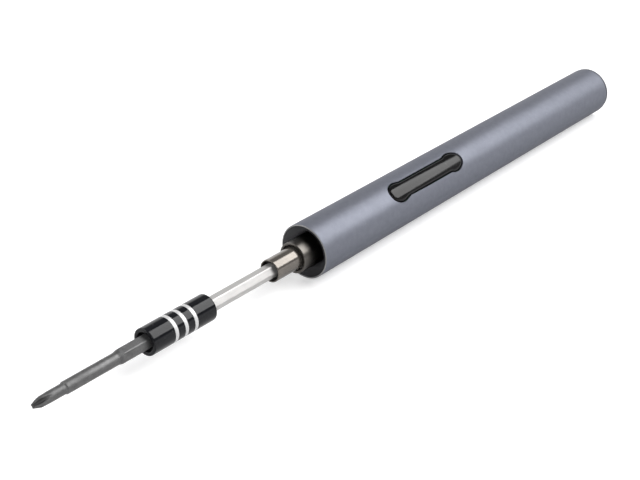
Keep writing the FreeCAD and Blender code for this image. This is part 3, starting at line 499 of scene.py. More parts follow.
def new_group(name: str, inputs: dict[str, float], outputs: Sequence[str]) -> bpy.types.ShaderNodeTree:
    """Empty shader node group with a vector input and value sockets.

    Args:
        name: Name of the group.
        inputs: Value inputs with their defaults.
        outputs: Value outputs.

    Returns:
        The group, with its input and output nodes in place.
    """
    group = bpy.data.node_groups.new(name, "ShaderNodeTree")
    group.interface.new_socket("Vector", in_out="INPUT", socket_type="NodeSocketVector")
    for key, value in inputs.items():
        socket = group.interface.new_socket(key, in_out="INPUT", socket_type="NodeSocketFloat")
        socket.default_value = value
    for key in outputs:
        group.interface.new_socket(key, in_out="OUTPUT", socket_type="NodeSocketFloat")
    group.nodes.new("NodeGroupInput").name = "In"
    group.nodes.new("NodeGroupOutput").name = "Out"
    return group


class Weaver:
    """Places and joins nodes in one node tree."""

    def __init__(self, tree: bpy.types.NodeTree) -> None:
        """Work in this tree."""
        self.tree = tree

    def node(self, kind: str, **values: object) -> bpy.types.Node:
        """Place a node.

        Args:
            kind: Node type without its Shader prefix.
            values: Settings of the node.

        Returns:
            The node.
        """
        made = self.tree.nodes.new("ShaderNode" + kind)
        for key, value in values.items():
            setattr(made, key, value)
        return made

    def feed(self, node: bpy.types.Node, **inputs: object) -> None:
        """Set or link inputs of a node by name, with underscores for spaces.

        Args:
            node: Node whose inputs are fed.
            inputs: Sockets to link, or plain values.
        """
        for key, value in inputs.items():
            self.put(node.inputs[key.replace("_", " ")], value)

    def put(self, socket: bpy.types.NodeSocket, value: object) -> None:
        """Set or link one input socket.

        Args:
            socket: Socket to feed.
            value: Socket to link, or a plain value.
        """
        if isinstance(value, bpy.types.NodeSocket):
            self.tree.links.new(value, socket)
        else:
            socket.default_value = value

    def math(self, operation: str, first: object, second: object = 0.0) -> bpy.types.NodeSocket:
        """Result of a sum on two values.

        Args:
            operation: Kind of sum.
            first: First value.
            second: Second value.

        Returns:
            The result.
        """
        made = self.node("Math", operation=operation)
        self.put(made.inputs[0], first)
        self.put(made.inputs[1], second)
        return made.outputs[0]

    def ranged(self, value: object, source: tuple[object, object], target: tuple[object, object],
               smooth: bool = False) -> bpy.types.NodeSocket:
        """A value moved from one range to another.

        Args:
            value: Value to move.
            source: Range it comes from.
            target: Range it goes to.
            smooth: True for a soft step.

        Returns:
            The moved value.
        """
        made = self.node("MapRange", interpolation_type="SMOOTHSTEP" if smooth else "LINEAR")
        self.put(made.inputs["Value"], value)
        for key, limit in zip(("From Min", "From Max", "To Min", "To Max"), (*source, *target)):
            self.put(made.inputs[key], limit)
        return made.outputs[0]

    def blend(self, share: object, low: object, high: object) -> bpy.types.NodeSocket:
        """Mix of two colours.

        Args:
            share: Share of the second colour.
            low: First colour.
            high: Second colour.

        Returns:
            The mixed colour.
        """
        made = self.node("Mix", data_type="RGBA")
        self.put(made.inputs[0], share)
        self.put(made.inputs[MIX_LOW], low)
        self.put(made.inputs[MIX_HIGH], high)
        return made.outputs[MIX_RESULT]

    def noise(self, vector: object, scale: object, detail: float,
              rough: float = 0.5) -> bpy.types.NodeSocket:
        """Even noise over a vector.

        Args:
            vector: Place that is read.
            scale: Grains to the metre.
            detail: Octaves of the noise.
            rough: Share of the finer octaves.

        Returns:
            The noise.
        """
        made = self.node("TexNoise")
        self.feed(made, Vector=vector, Scale=scale, Detail=detail, Roughness=rough)
        return made.outputs[0]

    def round_axis(self, vector: object) -> tuple[bpy.types.NodeSocket, bpy.types.NodeSocket]:
        """Place of a point against the tool's axis.

        Args:
            vector: Object coordinates.

        Returns:
            The place along the axis and the distance from it.
        """
        parts = self.node("SeparateXYZ")
        self.put(parts.inputs[0], vector)
        side = parts.outputs["Y"]
        up = self.math("SUBTRACT", parts.outputs["Z"], TOOL.translation.z)
        square = self.math("ADD", self.math("MULTIPLY", side, side), self.math("MULTIPLY", up, up))
        return parts.outputs["X"], self.math("SQRT", square)


@dataclass
class SurfaceGroups:
    """Node groups that the finishes share, each built once. Scales and pitches count to the metre."""

    blasted_scale: float = 5200.0
    moulded_scale: float = 2600.0
    cloud_ratio: float = 9.0
    mask_range: Span = (0.7, 1.3)
    ring_pitch: float = 9000.0
    ring_cloud: float = 420.0
    line_pitch: float = 7000.0
    line_squeeze: float = 0.012
    line_cloud: float = 300.0
    wire_pitch: float = 1500.0
    wire_waver: float = 0.4
    wire_cloud: float = 900.0
    wire_range: Span = (0.4, 1.6)
    mark_scale: float = 60.0
    mark_range: Span = (0.35, 0.65)
    speck_scale: float = 1900.0
    speck_range: Span = (0.72, 0.8)
    tone_and_shade_soft: float = 0.04

    def __post_init__(self) -> None:
        """Build every group."""
        self.grain = {
            Grain.BLASTED: self.even_grain("blasted_grain", self.blasted_scale, detail=2.0),
            Grain.TURNED: self.turned_rings(),
            Grain.DRAWN: self.drawn_lines(),
            Grain.MOULDED: self.even_grain("moulded_grain", self.moulded_scale, detail=3.0),
            Grain.WOUND: self.wound_wire(),
        }
        self.marks = self.handling_marks()
        self.tone_and_shade = self.tone_and_shade_mask()

    def even_grain(self, name: str, scale: float, detail: float) -> bpy.types.ShaderNodeTree:
        """Fine grain alike in all directions.

        Args:
            name: Name of the group.
            scale: Grains to the metre.
            detail: Octaves of the noise.

        Returns:
            The group.
        """
        group = new_group(name, {}, ("Height", "Mask"))
        web = Weaver(group)
        vector = group.nodes["In"].outputs["Vector"]
        height = web.noise(vector, scale, detail)
        cloud = web.noise(vector, scale / self.cloud_ratio, detail=2.0)
        return self.with_mask(group, height, cloud, self.mask_range)

    def turned_rings(self) -> bpy.types.ShaderNodeTree:
        """Fine rings that a lathe leaves, round the tool's axis.

        Returns:
            The group.
        """
        group = new_group("turned_rings", {"Pitch": self.ring_pitch}, ("Height", "Mask"))
        web = Weaver(group)
        source = group.nodes["In"].outputs
        rings = web.node("TexNoise", noise_dimensions="1D")
        place = web.math("ADD", *web.round_axis(source["Vector"]))
        web.feed(rings, W=web.math("MULTIPLY", place, source["Pitch"]), Scale=1.0, Detail=2.0)
        cloud = web.noise(source["Vector"], self.ring_cloud, detail=3.0)
        return self.with_mask(group, rings.outputs[0], cloud, self.mask_range)

    def drawn_lines(self) -> bpy.types.ShaderNodeTree:
        """Fine lines along the tool's axis, as on drawn bar.

        Returns:
            The group.
        """
        group = new_group("drawn_lines", {"Pitch": self.line_pitch}, ("Height", "Mask"))
        web = Weaver(group)
        source = group.nodes["In"].outputs
        squeezed = web.node("Mapping")
        web.feed(squeezed, Vector=source["Vector"], Scale=(self.line_squeeze, 1.0, 1.0))
        lines = web.noise(squeezed.outputs[0], source["Pitch"], detail=2.0)
        cloud = web.noise(source["Vector"], self.line_cloud, detail=3.0)
        return self.with_mask(group, lines, cloud, self.mask_range)

    def wound_wire(self) -> bpy.types.ShaderNodeTree:
        """Rows of wire wound side by side.

        Returns:
            The group.
        """
        group = new_group("wound_wire", {"Pitch": self.wire_pitch}, ("Height", "Mask"))
        web = Weaver(group)
        source = group.nodes["In"].outputs
        rows = web.node("TexWave", bands_direction="DIAGONAL")
        web.feed(rows, Vector=source["Vector"], Scale=source["Pitch"], Distortion=self.wire_waver)
        cloud = web.noise(source["Vector"], self.wire_cloud, detail=2.0)
        return self.with_mask(group, rows.outputs[1], cloud, self.wire_range)

    @staticmethod
    def with_mask(group: bpy.types.ShaderNodeTree, height: bpy.types.NodeSocket,
                  cloud: bpy.types.NodeSocket, limits: Span) -> bpy.types.ShaderNodeTree:
        """Put out a structure's height and a mask of it with broader clouds.

        Args:
            group: Group that is being made.
            height: Height of the fine structure.
            cloud: Broader clouds.
            limits: Sums of the two that the mask runs between.

        Returns:
            The same group.
        """
        web = Weaver(group)
        mask = web.ranged(web.math("ADD", height, cloud), limits, (0, 1))
        web.feed(group.nodes["Out"], Height=height, Mask=mask)
        return group

    def handling_marks(self) -> bpy.types.ShaderNodeTree:
        """Broad soft marks that handling leaves, and specks of dust.

        Returns:
            The group.
        """
        group = new_group("handling_marks", {"Spread": self.mark_scale}, ("Marks", "Specks"))
        web = Weaver(group)
        source = group.nodes["In"].outputs
        broad = web.noise(source["Vector"], source["Spread"], detail=4.0, rough=0.6)
        fine = web.noise(source["Vector"], self.speck_scale, detail=1.0)
        marks = web.ranged(broad, self.mark_range, (0, 1), smooth=True)
        specks = web.ranged(fine, self.speck_range, (0, 1), smooth=True)
        web.feed(group.nodes["Out"], Marks=marks, Specks=specks)
        return group

    def tone_and_shade_mask(self) -> bpy.types.ShaderNodeTree:
        """Mask of a stretch of the axis and of what lies deep under a round form, for a tone of its own
        or painted shade.

        Returns:
            The group.
        """
        inputs = ("Start", "End", "Form Start", "Form End", "Start Radius", "End Radius",
                  "Deep", "Shallow")
        group = new_group("tone_and_shade_mask", dict.fromkeys(inputs, 0.0), ("Share",))
        web = Weaver(group)
        source = group.nodes["In"].outputs
        along, radius = web.round_axis(source["Vector"])
        form = web.ranged(along, (source["Form Start"], source["Form End"]),
                          (source["Start Radius"], source["End Radius"]))
        share = web.ranged(web.math("DIVIDE", radius, form), (source["Deep"], source["Shallow"]), (1, 0),
                           smooth=True)
        half = self.tone_and_shade_soft * MM / 2
        for key, target in (("Start", (0, 1)), ("End", (1, 0))):
            limits = (web.math("SUBTRACT", source[key], half), web.math("ADD", source[key], half))
            share = web.math("MULTIPLY", share, web.ranged(along, limits, target))
        web.feed(group.nodes["Out"], Share=share)
        return group


@dataclass(frozen=True)
class ToneAndShadeZone:
    """A part in its own tone or in painted shade: a stretch of the axis, or what lies deep under a round
    form.
    """

    tone: Color
    stretch: Span = (-FAR, FAR)
    form: tuple[Span, Span] = ((-FAR, FAR), (FAR, FAR))
    shares: Span = (0.97, 0.99)

    def shade(self, web: Weaver, groups: SurfaceGroups, place: bpy.types.NodeSocket,
              tint: bpy.types.NodeSocket) -> bpy.types.NodeSocket:
        """Give the part its own tone or its painted shade.

        Args:
            web: Weaver of the material's nodes.
            groups: Node groups that the finishes share.
            place: Object coordinates.
            tint: Colour of the piece.

        Returns:
            The colour with the part in its own tone or in painted shade.
        """
        (form_start, start_r), (form_end, end_r) = self.form
        start, end, form_start, form_end = ((TOOL @ Vector((x, 0, 0))).x
                                            for x in (*self.stretch, form_start, form_end))
        mask = web.node("Group", node_tree=groups.tone_and_shade)
        web.feed(mask, Vector=place, Start=start, End=end, Form_Start=form_start, Form_End=form_end,
                 Start_Radius=start_r * MM, End_Radius=end_r * MM,
                 Deep=self.shares[0], Shallow=self.shares[1])
        return web.blend(mask.outputs["Share"], tint, (*self.tone, 1))


@dataclass(frozen=True)
class Finish:
    """How one surface looks: two tones with a fine structure, gloss and wear, and parts in another tone
    or painted shade.
    """

    tone: Color
    pale: Color
    metallic: float
    rough: Span
    grain: Grain
    depth: float
    specular: float = 0.5
    transmission: float = 0.0
    edge: float = 1.0
    tones_and_shades: tuple[ToneAndShadeZone, ...] = ()

    def material(self, name: str, groups: SurfaceGroups) -> bpy.types.Material:
        """Build the node material.

        Args:
            name: Name of the material.
            groups: Node groups that the finishes share.

        Returns:
            The material.
        """
        made = bpy.data.materials.new(name)
        made.use_nodes = True
        web = Weaver(made.node_tree)
        shader = made.node_tree.nodes["Principled BSDF"]
        place = web.node("TexCoord").outputs["Object"]
        grain = web.node("Group", node_tree=groups.grain[self.grain])
        marks = web.node("Group", node_tree=groups.marks)
        web.feed(grain, Vector=place)
        web.feed(marks, Vector=place)
        tint = web.blend(grain.outputs["Mask"], (*self.tone, 1), (*self.pale, 1))
        # Parts in a tone of their own, and painted shade in bores, flutes and the tail cap's grooves
        for tone_and_shade in self.tones_and_shades:
            tint = tone_and_shade.shade(web, groups, place, tint)
        dust = web.math("MULTIPLY", marks.outputs["Specks"], DUST_SHARE)
        dusty = web.blend(dust, tint, (*DUST, 1))
        gloss = web.ranged(marks.outputs["Marks"], (0, 1), self.rough)
        bump = web.node("Bump")
        web.feed(bump, Height=grain.outputs["Height"], Strength=1.0, Distance=self.depth * MM)
        web.feed(shader, Base_Color=dusty, Roughness=gloss, Normal=bump.outputs[0],
                 Metallic=self.metallic, Specular_IOR_Level=self.specular,
                 Transmission_Weight=self.transmission, Specular_Tint=(*grey(self.edge), 1))
        return made


def grey(value: float, warm: float = 0.0) -> Color:
    """A grey, a little warmer or cooler."""
    return (value * (1 + warm), value, value * (1 - warm))


FINISHES: dict[str, Finish] = {
    "tube": Finish((0.150, 0.158, 0.188), (0.175, 0.184, 0.215), 0.50, (0.42, 0.47),
                   Grain.BLASTED, 0.003, specular=0.15, edge=0.3,
                   tones_and_shades=(ToneAndShadeZone(grey(0.3), stretch=(-1.0, 0.1)),
                          # Tail cap darker all over: painted shade for its grooved coin edge
                          ToneAndShadeZone((0.085, 0.088, 0.098), stretch=(167.65, 169.0)))),
    "nose_black": Finish((0.009, 0.009, 0.011), (0.015, 0.015, 0.018), 0.0, (0.28, 0.40),
                         Grain.MOULDED, 0.006, specular=0.26),
    "lens_clear": Finish((0.85, 0.86, 0.84), (0.95, 0.95, 0.93), 0.0, (0.05, 0.12), Grain.MOULDED, 0.001,
                         transmission=0.85),
    "board_green": Finish((0.01, 0.07, 0.03), (0.02, 0.13, 0.05), 0.0, (0.3, 0.5), Grain.DRAWN, 0.002),
    "lamp_yellow": Finish((0.75, 0.55, 0.08), (0.9, 0.75, 0.2), 0.0, (0.3, 0.4), Grain.MOULDED, 0.002),
    "collar_steel": Finish(grey(0.08, 0.07), grey(0.12, 0.08), 1.0, (0.28, 0.36), Grain.TURNED, 0.0010,
                           # Painted shade inside the collar's bore
                           tones_and_shades=(ToneAndShadeZone(grey(0.01, 0.1), form=((-FAR, 4.1), (FAR, 4.1))),)),
    "bronze": Finish((0.36, 0.24, 0.12), (0.5, 0.35, 0.18), 1.0, (0.35, 0.5), Grain.BLASTED, 0.004),
    "spindle_steel": Finish(grey(0.115, 0.10), grey(0.15, 0.12), 0.6, (0.11, 0.16), Grain.TURNED, 0.0005,
                            # Painted shade in the chuck's mouth and hex socket
                            tones_and_shades=(ToneAndShadeZone(grey(0.012, 0.15), form=((-FAR, 3.2), (FAR, 3.2))),)),
    "gear_steel": Finish(grey(0.38), grey(0.5), 1.0, (0.25, 0.4), Grain.DRAWN, 0.002),
    # Near-black steel: painted shade on what the rocker's window gap shows
    "gap_shade_steel": Finish(grey(0.012, -0.1), grey(0.022, -0.1), 0.6, (0.42, 0.55), Grain.DRAWN, 0.002,
                          specular=0.2),
    "magnet_nickel": Finish(grey(0.6, 0.02), grey(0.7, 0.02), 1.0, (0.15, 0.25), Grain.TURNED, 0.001),
    "motor_steel": Finish(grey(0.52), grey(0.62), 1.0, (0.25, 0.4), Grain.DRAWN, 0.002),
    "ferrite": Finish(grey(0.03), grey(0.06), 0.0, (0.55, 0.75), Grain.BLASTED, 0.008),
    "lamination": Finish(grey(0.2), grey(0.32), 1.0, (0.35, 0.5), Grain.TURNED, 0.004),
    "copper": Finish((0.62, 0.26, 0.12), (0.85, 0.42, 0.22), 1.0, (0.2, 0.35), Grain.WOUND, 0.02),
    "brass": Finish((0.68, 0.48, 0.18), (0.82, 0.62, 0.28), 1.0, (0.2, 0.35), Grain.TURNED, 0.002),
    "motor_plastic": Finish((0.62, 0.58, 0.48), (0.72, 0.68, 0.58), 0.0, (0.4, 0.55),
                            Grain.MOULDED, 0.005),
    "chassis_black": Finish(grey(0.015), grey(0.03), 0.0, (0.4, 0.6), Grain.MOULDED, 0.006),
    "chip_black": Finish(grey(0.012), grey(0.022), 0.0, (0.4, 0.55), Grain.BLASTED, 0.004),
    "plunger_white": Finish((0.7, 0.69, 0.65), (0.78, 0.77, 0.73), 0.0, (0.4, 0.5),
                            Grain.MOULDED, 0.004),
    "rocker_grey": Finish(grey(0.003), grey(0.006), 0.0, (0.06, 0.10), Grain.DRAWN, 0.0006,
                          specular=0.17),
    "cell_blue": Finish((0.03, 0.11, 0.32), (0.05, 0.16, 0.42), 0.0, (0.2, 0.35), Grain.MOULDED, 0.004),
    "tab_nickel": Finish(grey(0.6, 0.02), grey(0.7, 0.02), 1.0, (0.2, 0.35), Grain.DRAWN, 0.002),
    "socket_steel": Finish(grey(0.58), grey(0.68), 1.0, (0.16, 0.28), Grain.DRAWN, 0.001),
    "lead_red": Finish((0.4, 0.025, 0.015), (0.55, 0.05, 0.03), 0.0, (0.35, 0.5), Grain.MOULDED, 0.004),
    "rod_steel": Finish(grey(0.41, 0.02), grey(0.47, 0.02), 0.5, (0.36, 0.44), Grain.DRAWN, 0.0008),
    "sleeve_dark": Finish((0.006, 0.0065, 0.008), (0.010, 0.0105, 0.0125), 0.0, (0.07, 0.12),
                          Grain.TURNED, 0.0006, specular=0.2),
    "band_bright": Finish(grey(0.56), grey(0.64), 0.4, (0.45, 0.55), Grain.TURNED, 0.0010),
    "bit_steel": Finish(grey(0.095), grey(0.155), 0.7, (0.46, 0.56), Grain.BLASTED, 0.006, specular=0.2,
                        # Painted shade in the tip's flutes
                        tones_and_shades=(ToneAndShadeZone(grey(0.045), form=((-102.65, 0.72), (-100.3, 1.5)),
                                    shares=(0.72, 0.96)),)),
}


class PaintShop:
    """Makes each slot's material once and puts it on pieces."""

    def __init__(self) -> None:
        """Build the shared groups and every slot's material."""
        groups = SurfaceGroups()
        self.materials = {slot: finish.material("finish_" + slot, groups)
                          for slot, finish in FINISHES.items()}

    def coat(self, piece: bpy.types.Object, slot: str) -> None:
        """Give a piece the material of a slot, alone."""
        piece.data.materials.clear()
        piece.data.materials.append(self.materials[slot])

    def coat_frame(self) -> None:
        """Give every CAD node its slot's material, and darken the steel that the window's gap shows as
        painted shade.
        """
        for name, node in frame["nodes"].items():
            slot = "gap_shade_steel" if name in GAP_SHADE_NODES else SLOTS[name]
            self.coat(node, slot)
            log.info("%s: solid in %s", name, slot)


# Pieces

class Assembly:
    """A sub-assembly: its meshes become pieces on the CAD bodies and are then dressed."""

    def __post_init__(self) -> None:
        """Start with no piece."""
        self.pieces: list[tuple[bpy.types.Object, str]] = []

    def add(self, name: str, mesh: BMesh, node: str, slot: str = "", stands_for: bool = True,
            crease_deg: float = SMOOTH_DEG) -> None:
        """Make a mesh a piece.

        Args:
            name: Name of the piece.
            mesh: Closed mesh in the tool's frame; it is freed.
            node: CAD node that it stands for, or whose body it rides on.
            slot: Slot of its finish, where that isn't the node's.
            stands_for: False where the node stays in sight.
            crease_deg: Least turn between two faces that stays a sharp edge.
        """
        bmesh.ops.recalc_face_normals(mesh, faces=mesh.faces)
        bmesh.ops.transform(mesh, matrix=TOOL, verts=mesh.verts)
        piece = placed_mesh(name, mesh)
        piece.data.polygons.foreach_set("use_smooth", [True] * len(piece.data.polygons))
        piece.data.set_sharp_from_angle(angle=math.radians(crease_deg))
        piece.modifiers.new("even_shading", "WEIGHTED_NORMAL").keep_sharp = True
        slot = slot or SLOTS[node]
        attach(piece, frame["nodes"][node]["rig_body"])
        if stands_for:
            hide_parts(node)
        self.pieces.append((piece, slot))

    def dress(self, paint: PaintShop) -> None:
        """Give every piece the finish of its slot and report it.

        Args:
            paint: Paint shop that makes the finishes.
        """
        for piece, slot in self.pieces:
            paint.coat(piece, slot)
            log.info("%s: %d faces in %s", piece.name, len(piece.data.polygons), slot)


def carved(body: BMesh, cutter: BMesh) -> BMesh:
    """Cut one closed mesh out of another.

    Args:
        body: Mesh to cut; it is freed.
        cutter: Mesh that is taken away; it is freed.

    Returns:
        The cut mesh.
    """
    objects = []
    for mesh in (body, cutter):
        bmesh.ops.recalc_face_normals(mesh, faces=mesh.faces)
        objects.append(placed_mesh("carving", mesh))
    cut = objects[0].modifiers.new("cut", "BOOLEAN")
    cut.operation = "DIFFERENCE"
    cut.solver = "EXACT"
    cut.object = objects[1]
    graph = bpy.context.evaluated_depsgraph_get()
    result = bmesh.new()
    result.from_object(objects[0], graph)
    for made in objects:
        data = made.data
        bpy.data.objects.remove(made)
        bpy.data.meshes.remove(data)
    return result


@dataclass
class Handle(Assembly):
    """The anodised tube with its rocker window, the tail cap and its charge port."""

    tube_r: float = 8.5
    bore_r: float = 7.5
    length: float = 167.6
    edge: float = 0.3
    inner_edge: float = 0.06
    lip: float = 0.45
    lip_depth: float = 1.6
    window: Bone = Bone(centre_x=54.6, length=38.56, width=7.16, waist=5.95,
                        tip_r=3.0, shoulder_r=6.0, hollow_r=3.2)
    window_edge: float = 0.12
    cap_r: float = 8.4
    cap_front: float = 167.7
    cap_back: float = 168.6
    cap_edge: float = 0.15
    cap_turn: float = 1.2
    cap_bevel: float = 0.4
    plug_r: float = 7.45
    plug_bore_r: float = 6.45
    plug_front: float = 162.7
    knurls: int = 72
    knurl_r: float = 0.24
    port_width: float = 8.94
    port_height: float = 3.16
    port_wall: float = 0.3
    port_gap: float = 0.1
    port_mouth: float = 168.3
    port_back: float = 160.95
    tongue_width: float = 6.7
    tongue_thick: float = 0.7
    tongue_front: float = 167.3
    tongue_base: float = 1.2
    tongue_gap: float = 0.05
    tongue_edge: float = 0.1
    contacts: int = 6
    contact: tuple[float, float, float] = (3.6, 0.36, 0.06)
    contact_inset: float = 0.4
    contact_edge: float = 0.015

    def tube(self) -> BMesh:
        """Tube with eased ends and the rocker's window cut into it.

        Returns:
            The mesh in the tool's frame.
        """
        lip_r = self.tube_r - self.lip
        outside = eased([(0, self.bore_r), (0, self.tube_r), (self.length, self.tube_r),
                         (self.length, self.bore_r)], self.edge, steps=4)
        mesh = turned([(0, lip_r), *outside[1:], (self.lip_depth, self.bore_r), (self.lip_depth, lip_r)],
                      TUBE_TURN)
        ease_edges(mesh, self.inner_edge, steps=2, least_deg=60.0)
        return carved(mesh, self.window_cutter())

    def window_cutter(self) -> BMesh:
        """Cutter for the window, flared where it leaves the tube.

        Returns:
            The mesh in the tool's frame.
        """
        mesh = bmesh.new()
        self.window.draw(mesh, self.bore_r - 2 * OVERRUN)
        flare = self.window_edge + FLARE_SPARE
        edges = list(mesh.edges)
        order = list(mesh.verts)
        away = [outward(vert) for vert in order]
        for depth, grow in ((-self.window_edge, 0.0), (FLARE_SPARE, flare), (2 * OVERRUN, 0.0)):
            made = bmesh.ops.extrude_edge_only(mesh, edges=edges)["geom"]
            fresh = [item for item in made if isinstance(item, BMVert)]
            follow = {edge.other_vert(vert): vert for vert in fresh for edge in vert.link_edges
                      if edge.other_vert(vert) in order}
            order = [follow[before] for before in order]
            for vert, way in zip(order, away):
                vert.co += way * grow
                vert.co.z = math.sqrt((self.tube_r + depth) ** 2 - vert.co.y ** 2)
            top = set(order)
            edges = [item for item in made if isinstance(item, BMEdge) and top.issuperset(item.verts)]
        bmesh.ops.holes_fill(mesh, edges=[edge for edge in mesh.edges if edge.is_boundary], sides=0)
        return mesh

    def tail_cap(self) -> BMesh:
        """Cap with a coin edge, a slot for the port and a hollow plug.

        Returns:
            The mesh in the tool's frame.
        """
        rim = grooved_rule(round_rule(self.cap_r), self.cap_r, self.knurl_r, self.knurls, roll_deg=0.0)
        face_r = self.cap_r - 2 * self.cap_edge
        slot = oval_rule(self.port_width + 2 * self.port_gap, self.port_height + 2 * self.port_gap)
        ease = self.cap_edge / 2
        grown = oval_rule(self.port_width + 2 * (self.port_gap + ease),
                          self.port_height + 2 * (self.port_gap + ease))
        stations = [
            Station(self.cap_front, round_rule(self.plug_r)),
            Station(self.cap_front, round_rule(self.cap_r - self.cap_bevel)),
            Station(self.cap_front + self.cap_bevel, rim),
            Station(self.cap_back - self.cap_edge, rim),
            Station(self.cap_back - ease / 2, round_rule(self.cap_r - self.cap_edge * self.cap_turn)),
            Station(self.cap_back, round_rule(face_r)),
            Station(self.cap_back, grown),
            Station(self.cap_back - ease, slot),
            Station(self.cap_front + self.cap_edge, slot),
            Station(self.cap_front + self.cap_edge, round_rule(self.plug_bore_r)),
            Station(self.plug_front, round_rule(self.plug_bore_r)),
            Station(self.plug_front, round_rule(self.plug_r)),
        ]
        return loft(stations, self.knurls * POINTS_PER_TOOTH, closed=True)

    def port_shell(self) -> BMesh:
        """Folded steel shell of the charge port.

        Returns:
            The mesh in the tool's frame.
        """
        inner = (self.port_width - 2 * self.port_wall, self.port_height - 2 * self.port_wall)
        ease = self.port_wall / 3
        outer_eased = oval_rule(self.port_width - 2 * ease, self.port_height - 2 * ease)
        inner_eased = oval_rule(inner[0] + 2 * ease, inner[1] + 2 * ease)
        outer = oval_rule(self.port_width, self.port_height)
        stations = [Station(self.port_back, outer), Station(self.port_mouth - ease, outer),
                    Station(self.port_mouth, outer_eased), Station(self.port_mouth, inner_eased),
                    Station(self.port_mouth - ease, oval_rule(*inner)),
                    Station(self.port_back, oval_rule(*inner))]
        return loft(stations, closed=True)

    def port_tongue(self) -> BMesh:
        """Insulator behind the port with its contact tongue.

        Returns:
            The mesh in the tool's frame.
        """
        wall = self.port_wall + self.tongue_gap
        base = oval_rule(self.port_width - 2 * wall, self.port_height - 2 * wall)
        tongue = self.box_rule(self.tongue_width, self.tongue_thick)
        edge = self.tongue_edge
        nose = self.box_rule(self.tongue_width - 2 * edge, self.tongue_thick - 2 * edge)
        floor = self.port_back + self.tongue_base
        stations = [Station(self.port_back, base), Station(floor, base), Station(floor, tongue),
                    Station(self.tongue_front - edge, tongue), Station(self.tongue_front, nose)]
        return loft(stations)

    @staticmethod
    def box_rule(width: float, height: float) -> Rule:
        """Rectangle, wide across the rocker's plane."""
        return lambda angle: min(width / 2 / max(abs(math.sin(angle)), NEAR),
                                 height / 2 / max(abs(math.cos(angle)), NEAR))

    def port_contacts(self) -> BMesh:
        """Rows of contact strips on both faces of the tongue.

        Returns:
            The mesh in the tool's frame.
        """
        mesh = bmesh.new()
        strip = Vector(self.contact)
        x = self.tongue_front - strip.x / 2 - self.contact_inset
        pitch = self.tongue_width / (self.contacts + 1)
        for side in (1, -1):
            for number in range(self.contacts):
                y = (number - (self.contacts - 1) / 2) * pitch
                place = (x, y, side * self.tongue_thick / 2)
                verts = bmesh.ops.create_cube(mesh, size=1.0)["verts"]
                bmesh.ops.scale(mesh, vec=strip, verts=verts)
                bmesh.ops.translate(mesh, vec=place, verts=verts)
        ease_edges(mesh, self.contact_edge, steps=2)
        return mesh

    def build(self) -> None:
        """Make the handle's pieces."""
        self.add("tube_shell", self.tube(), "handle_tube")
        self.add("coin_edge_cap", self.tail_cap(), "tail_cap")
        self.add("port_shell", self.port_shell(), "charge_socket")
        self.add("port_tongue", self.port_tongue(), "charge_tongue")
        self.add("port_contacts", self.port_contacts(), "charge_tongue", slot="brass", stands_for=False)


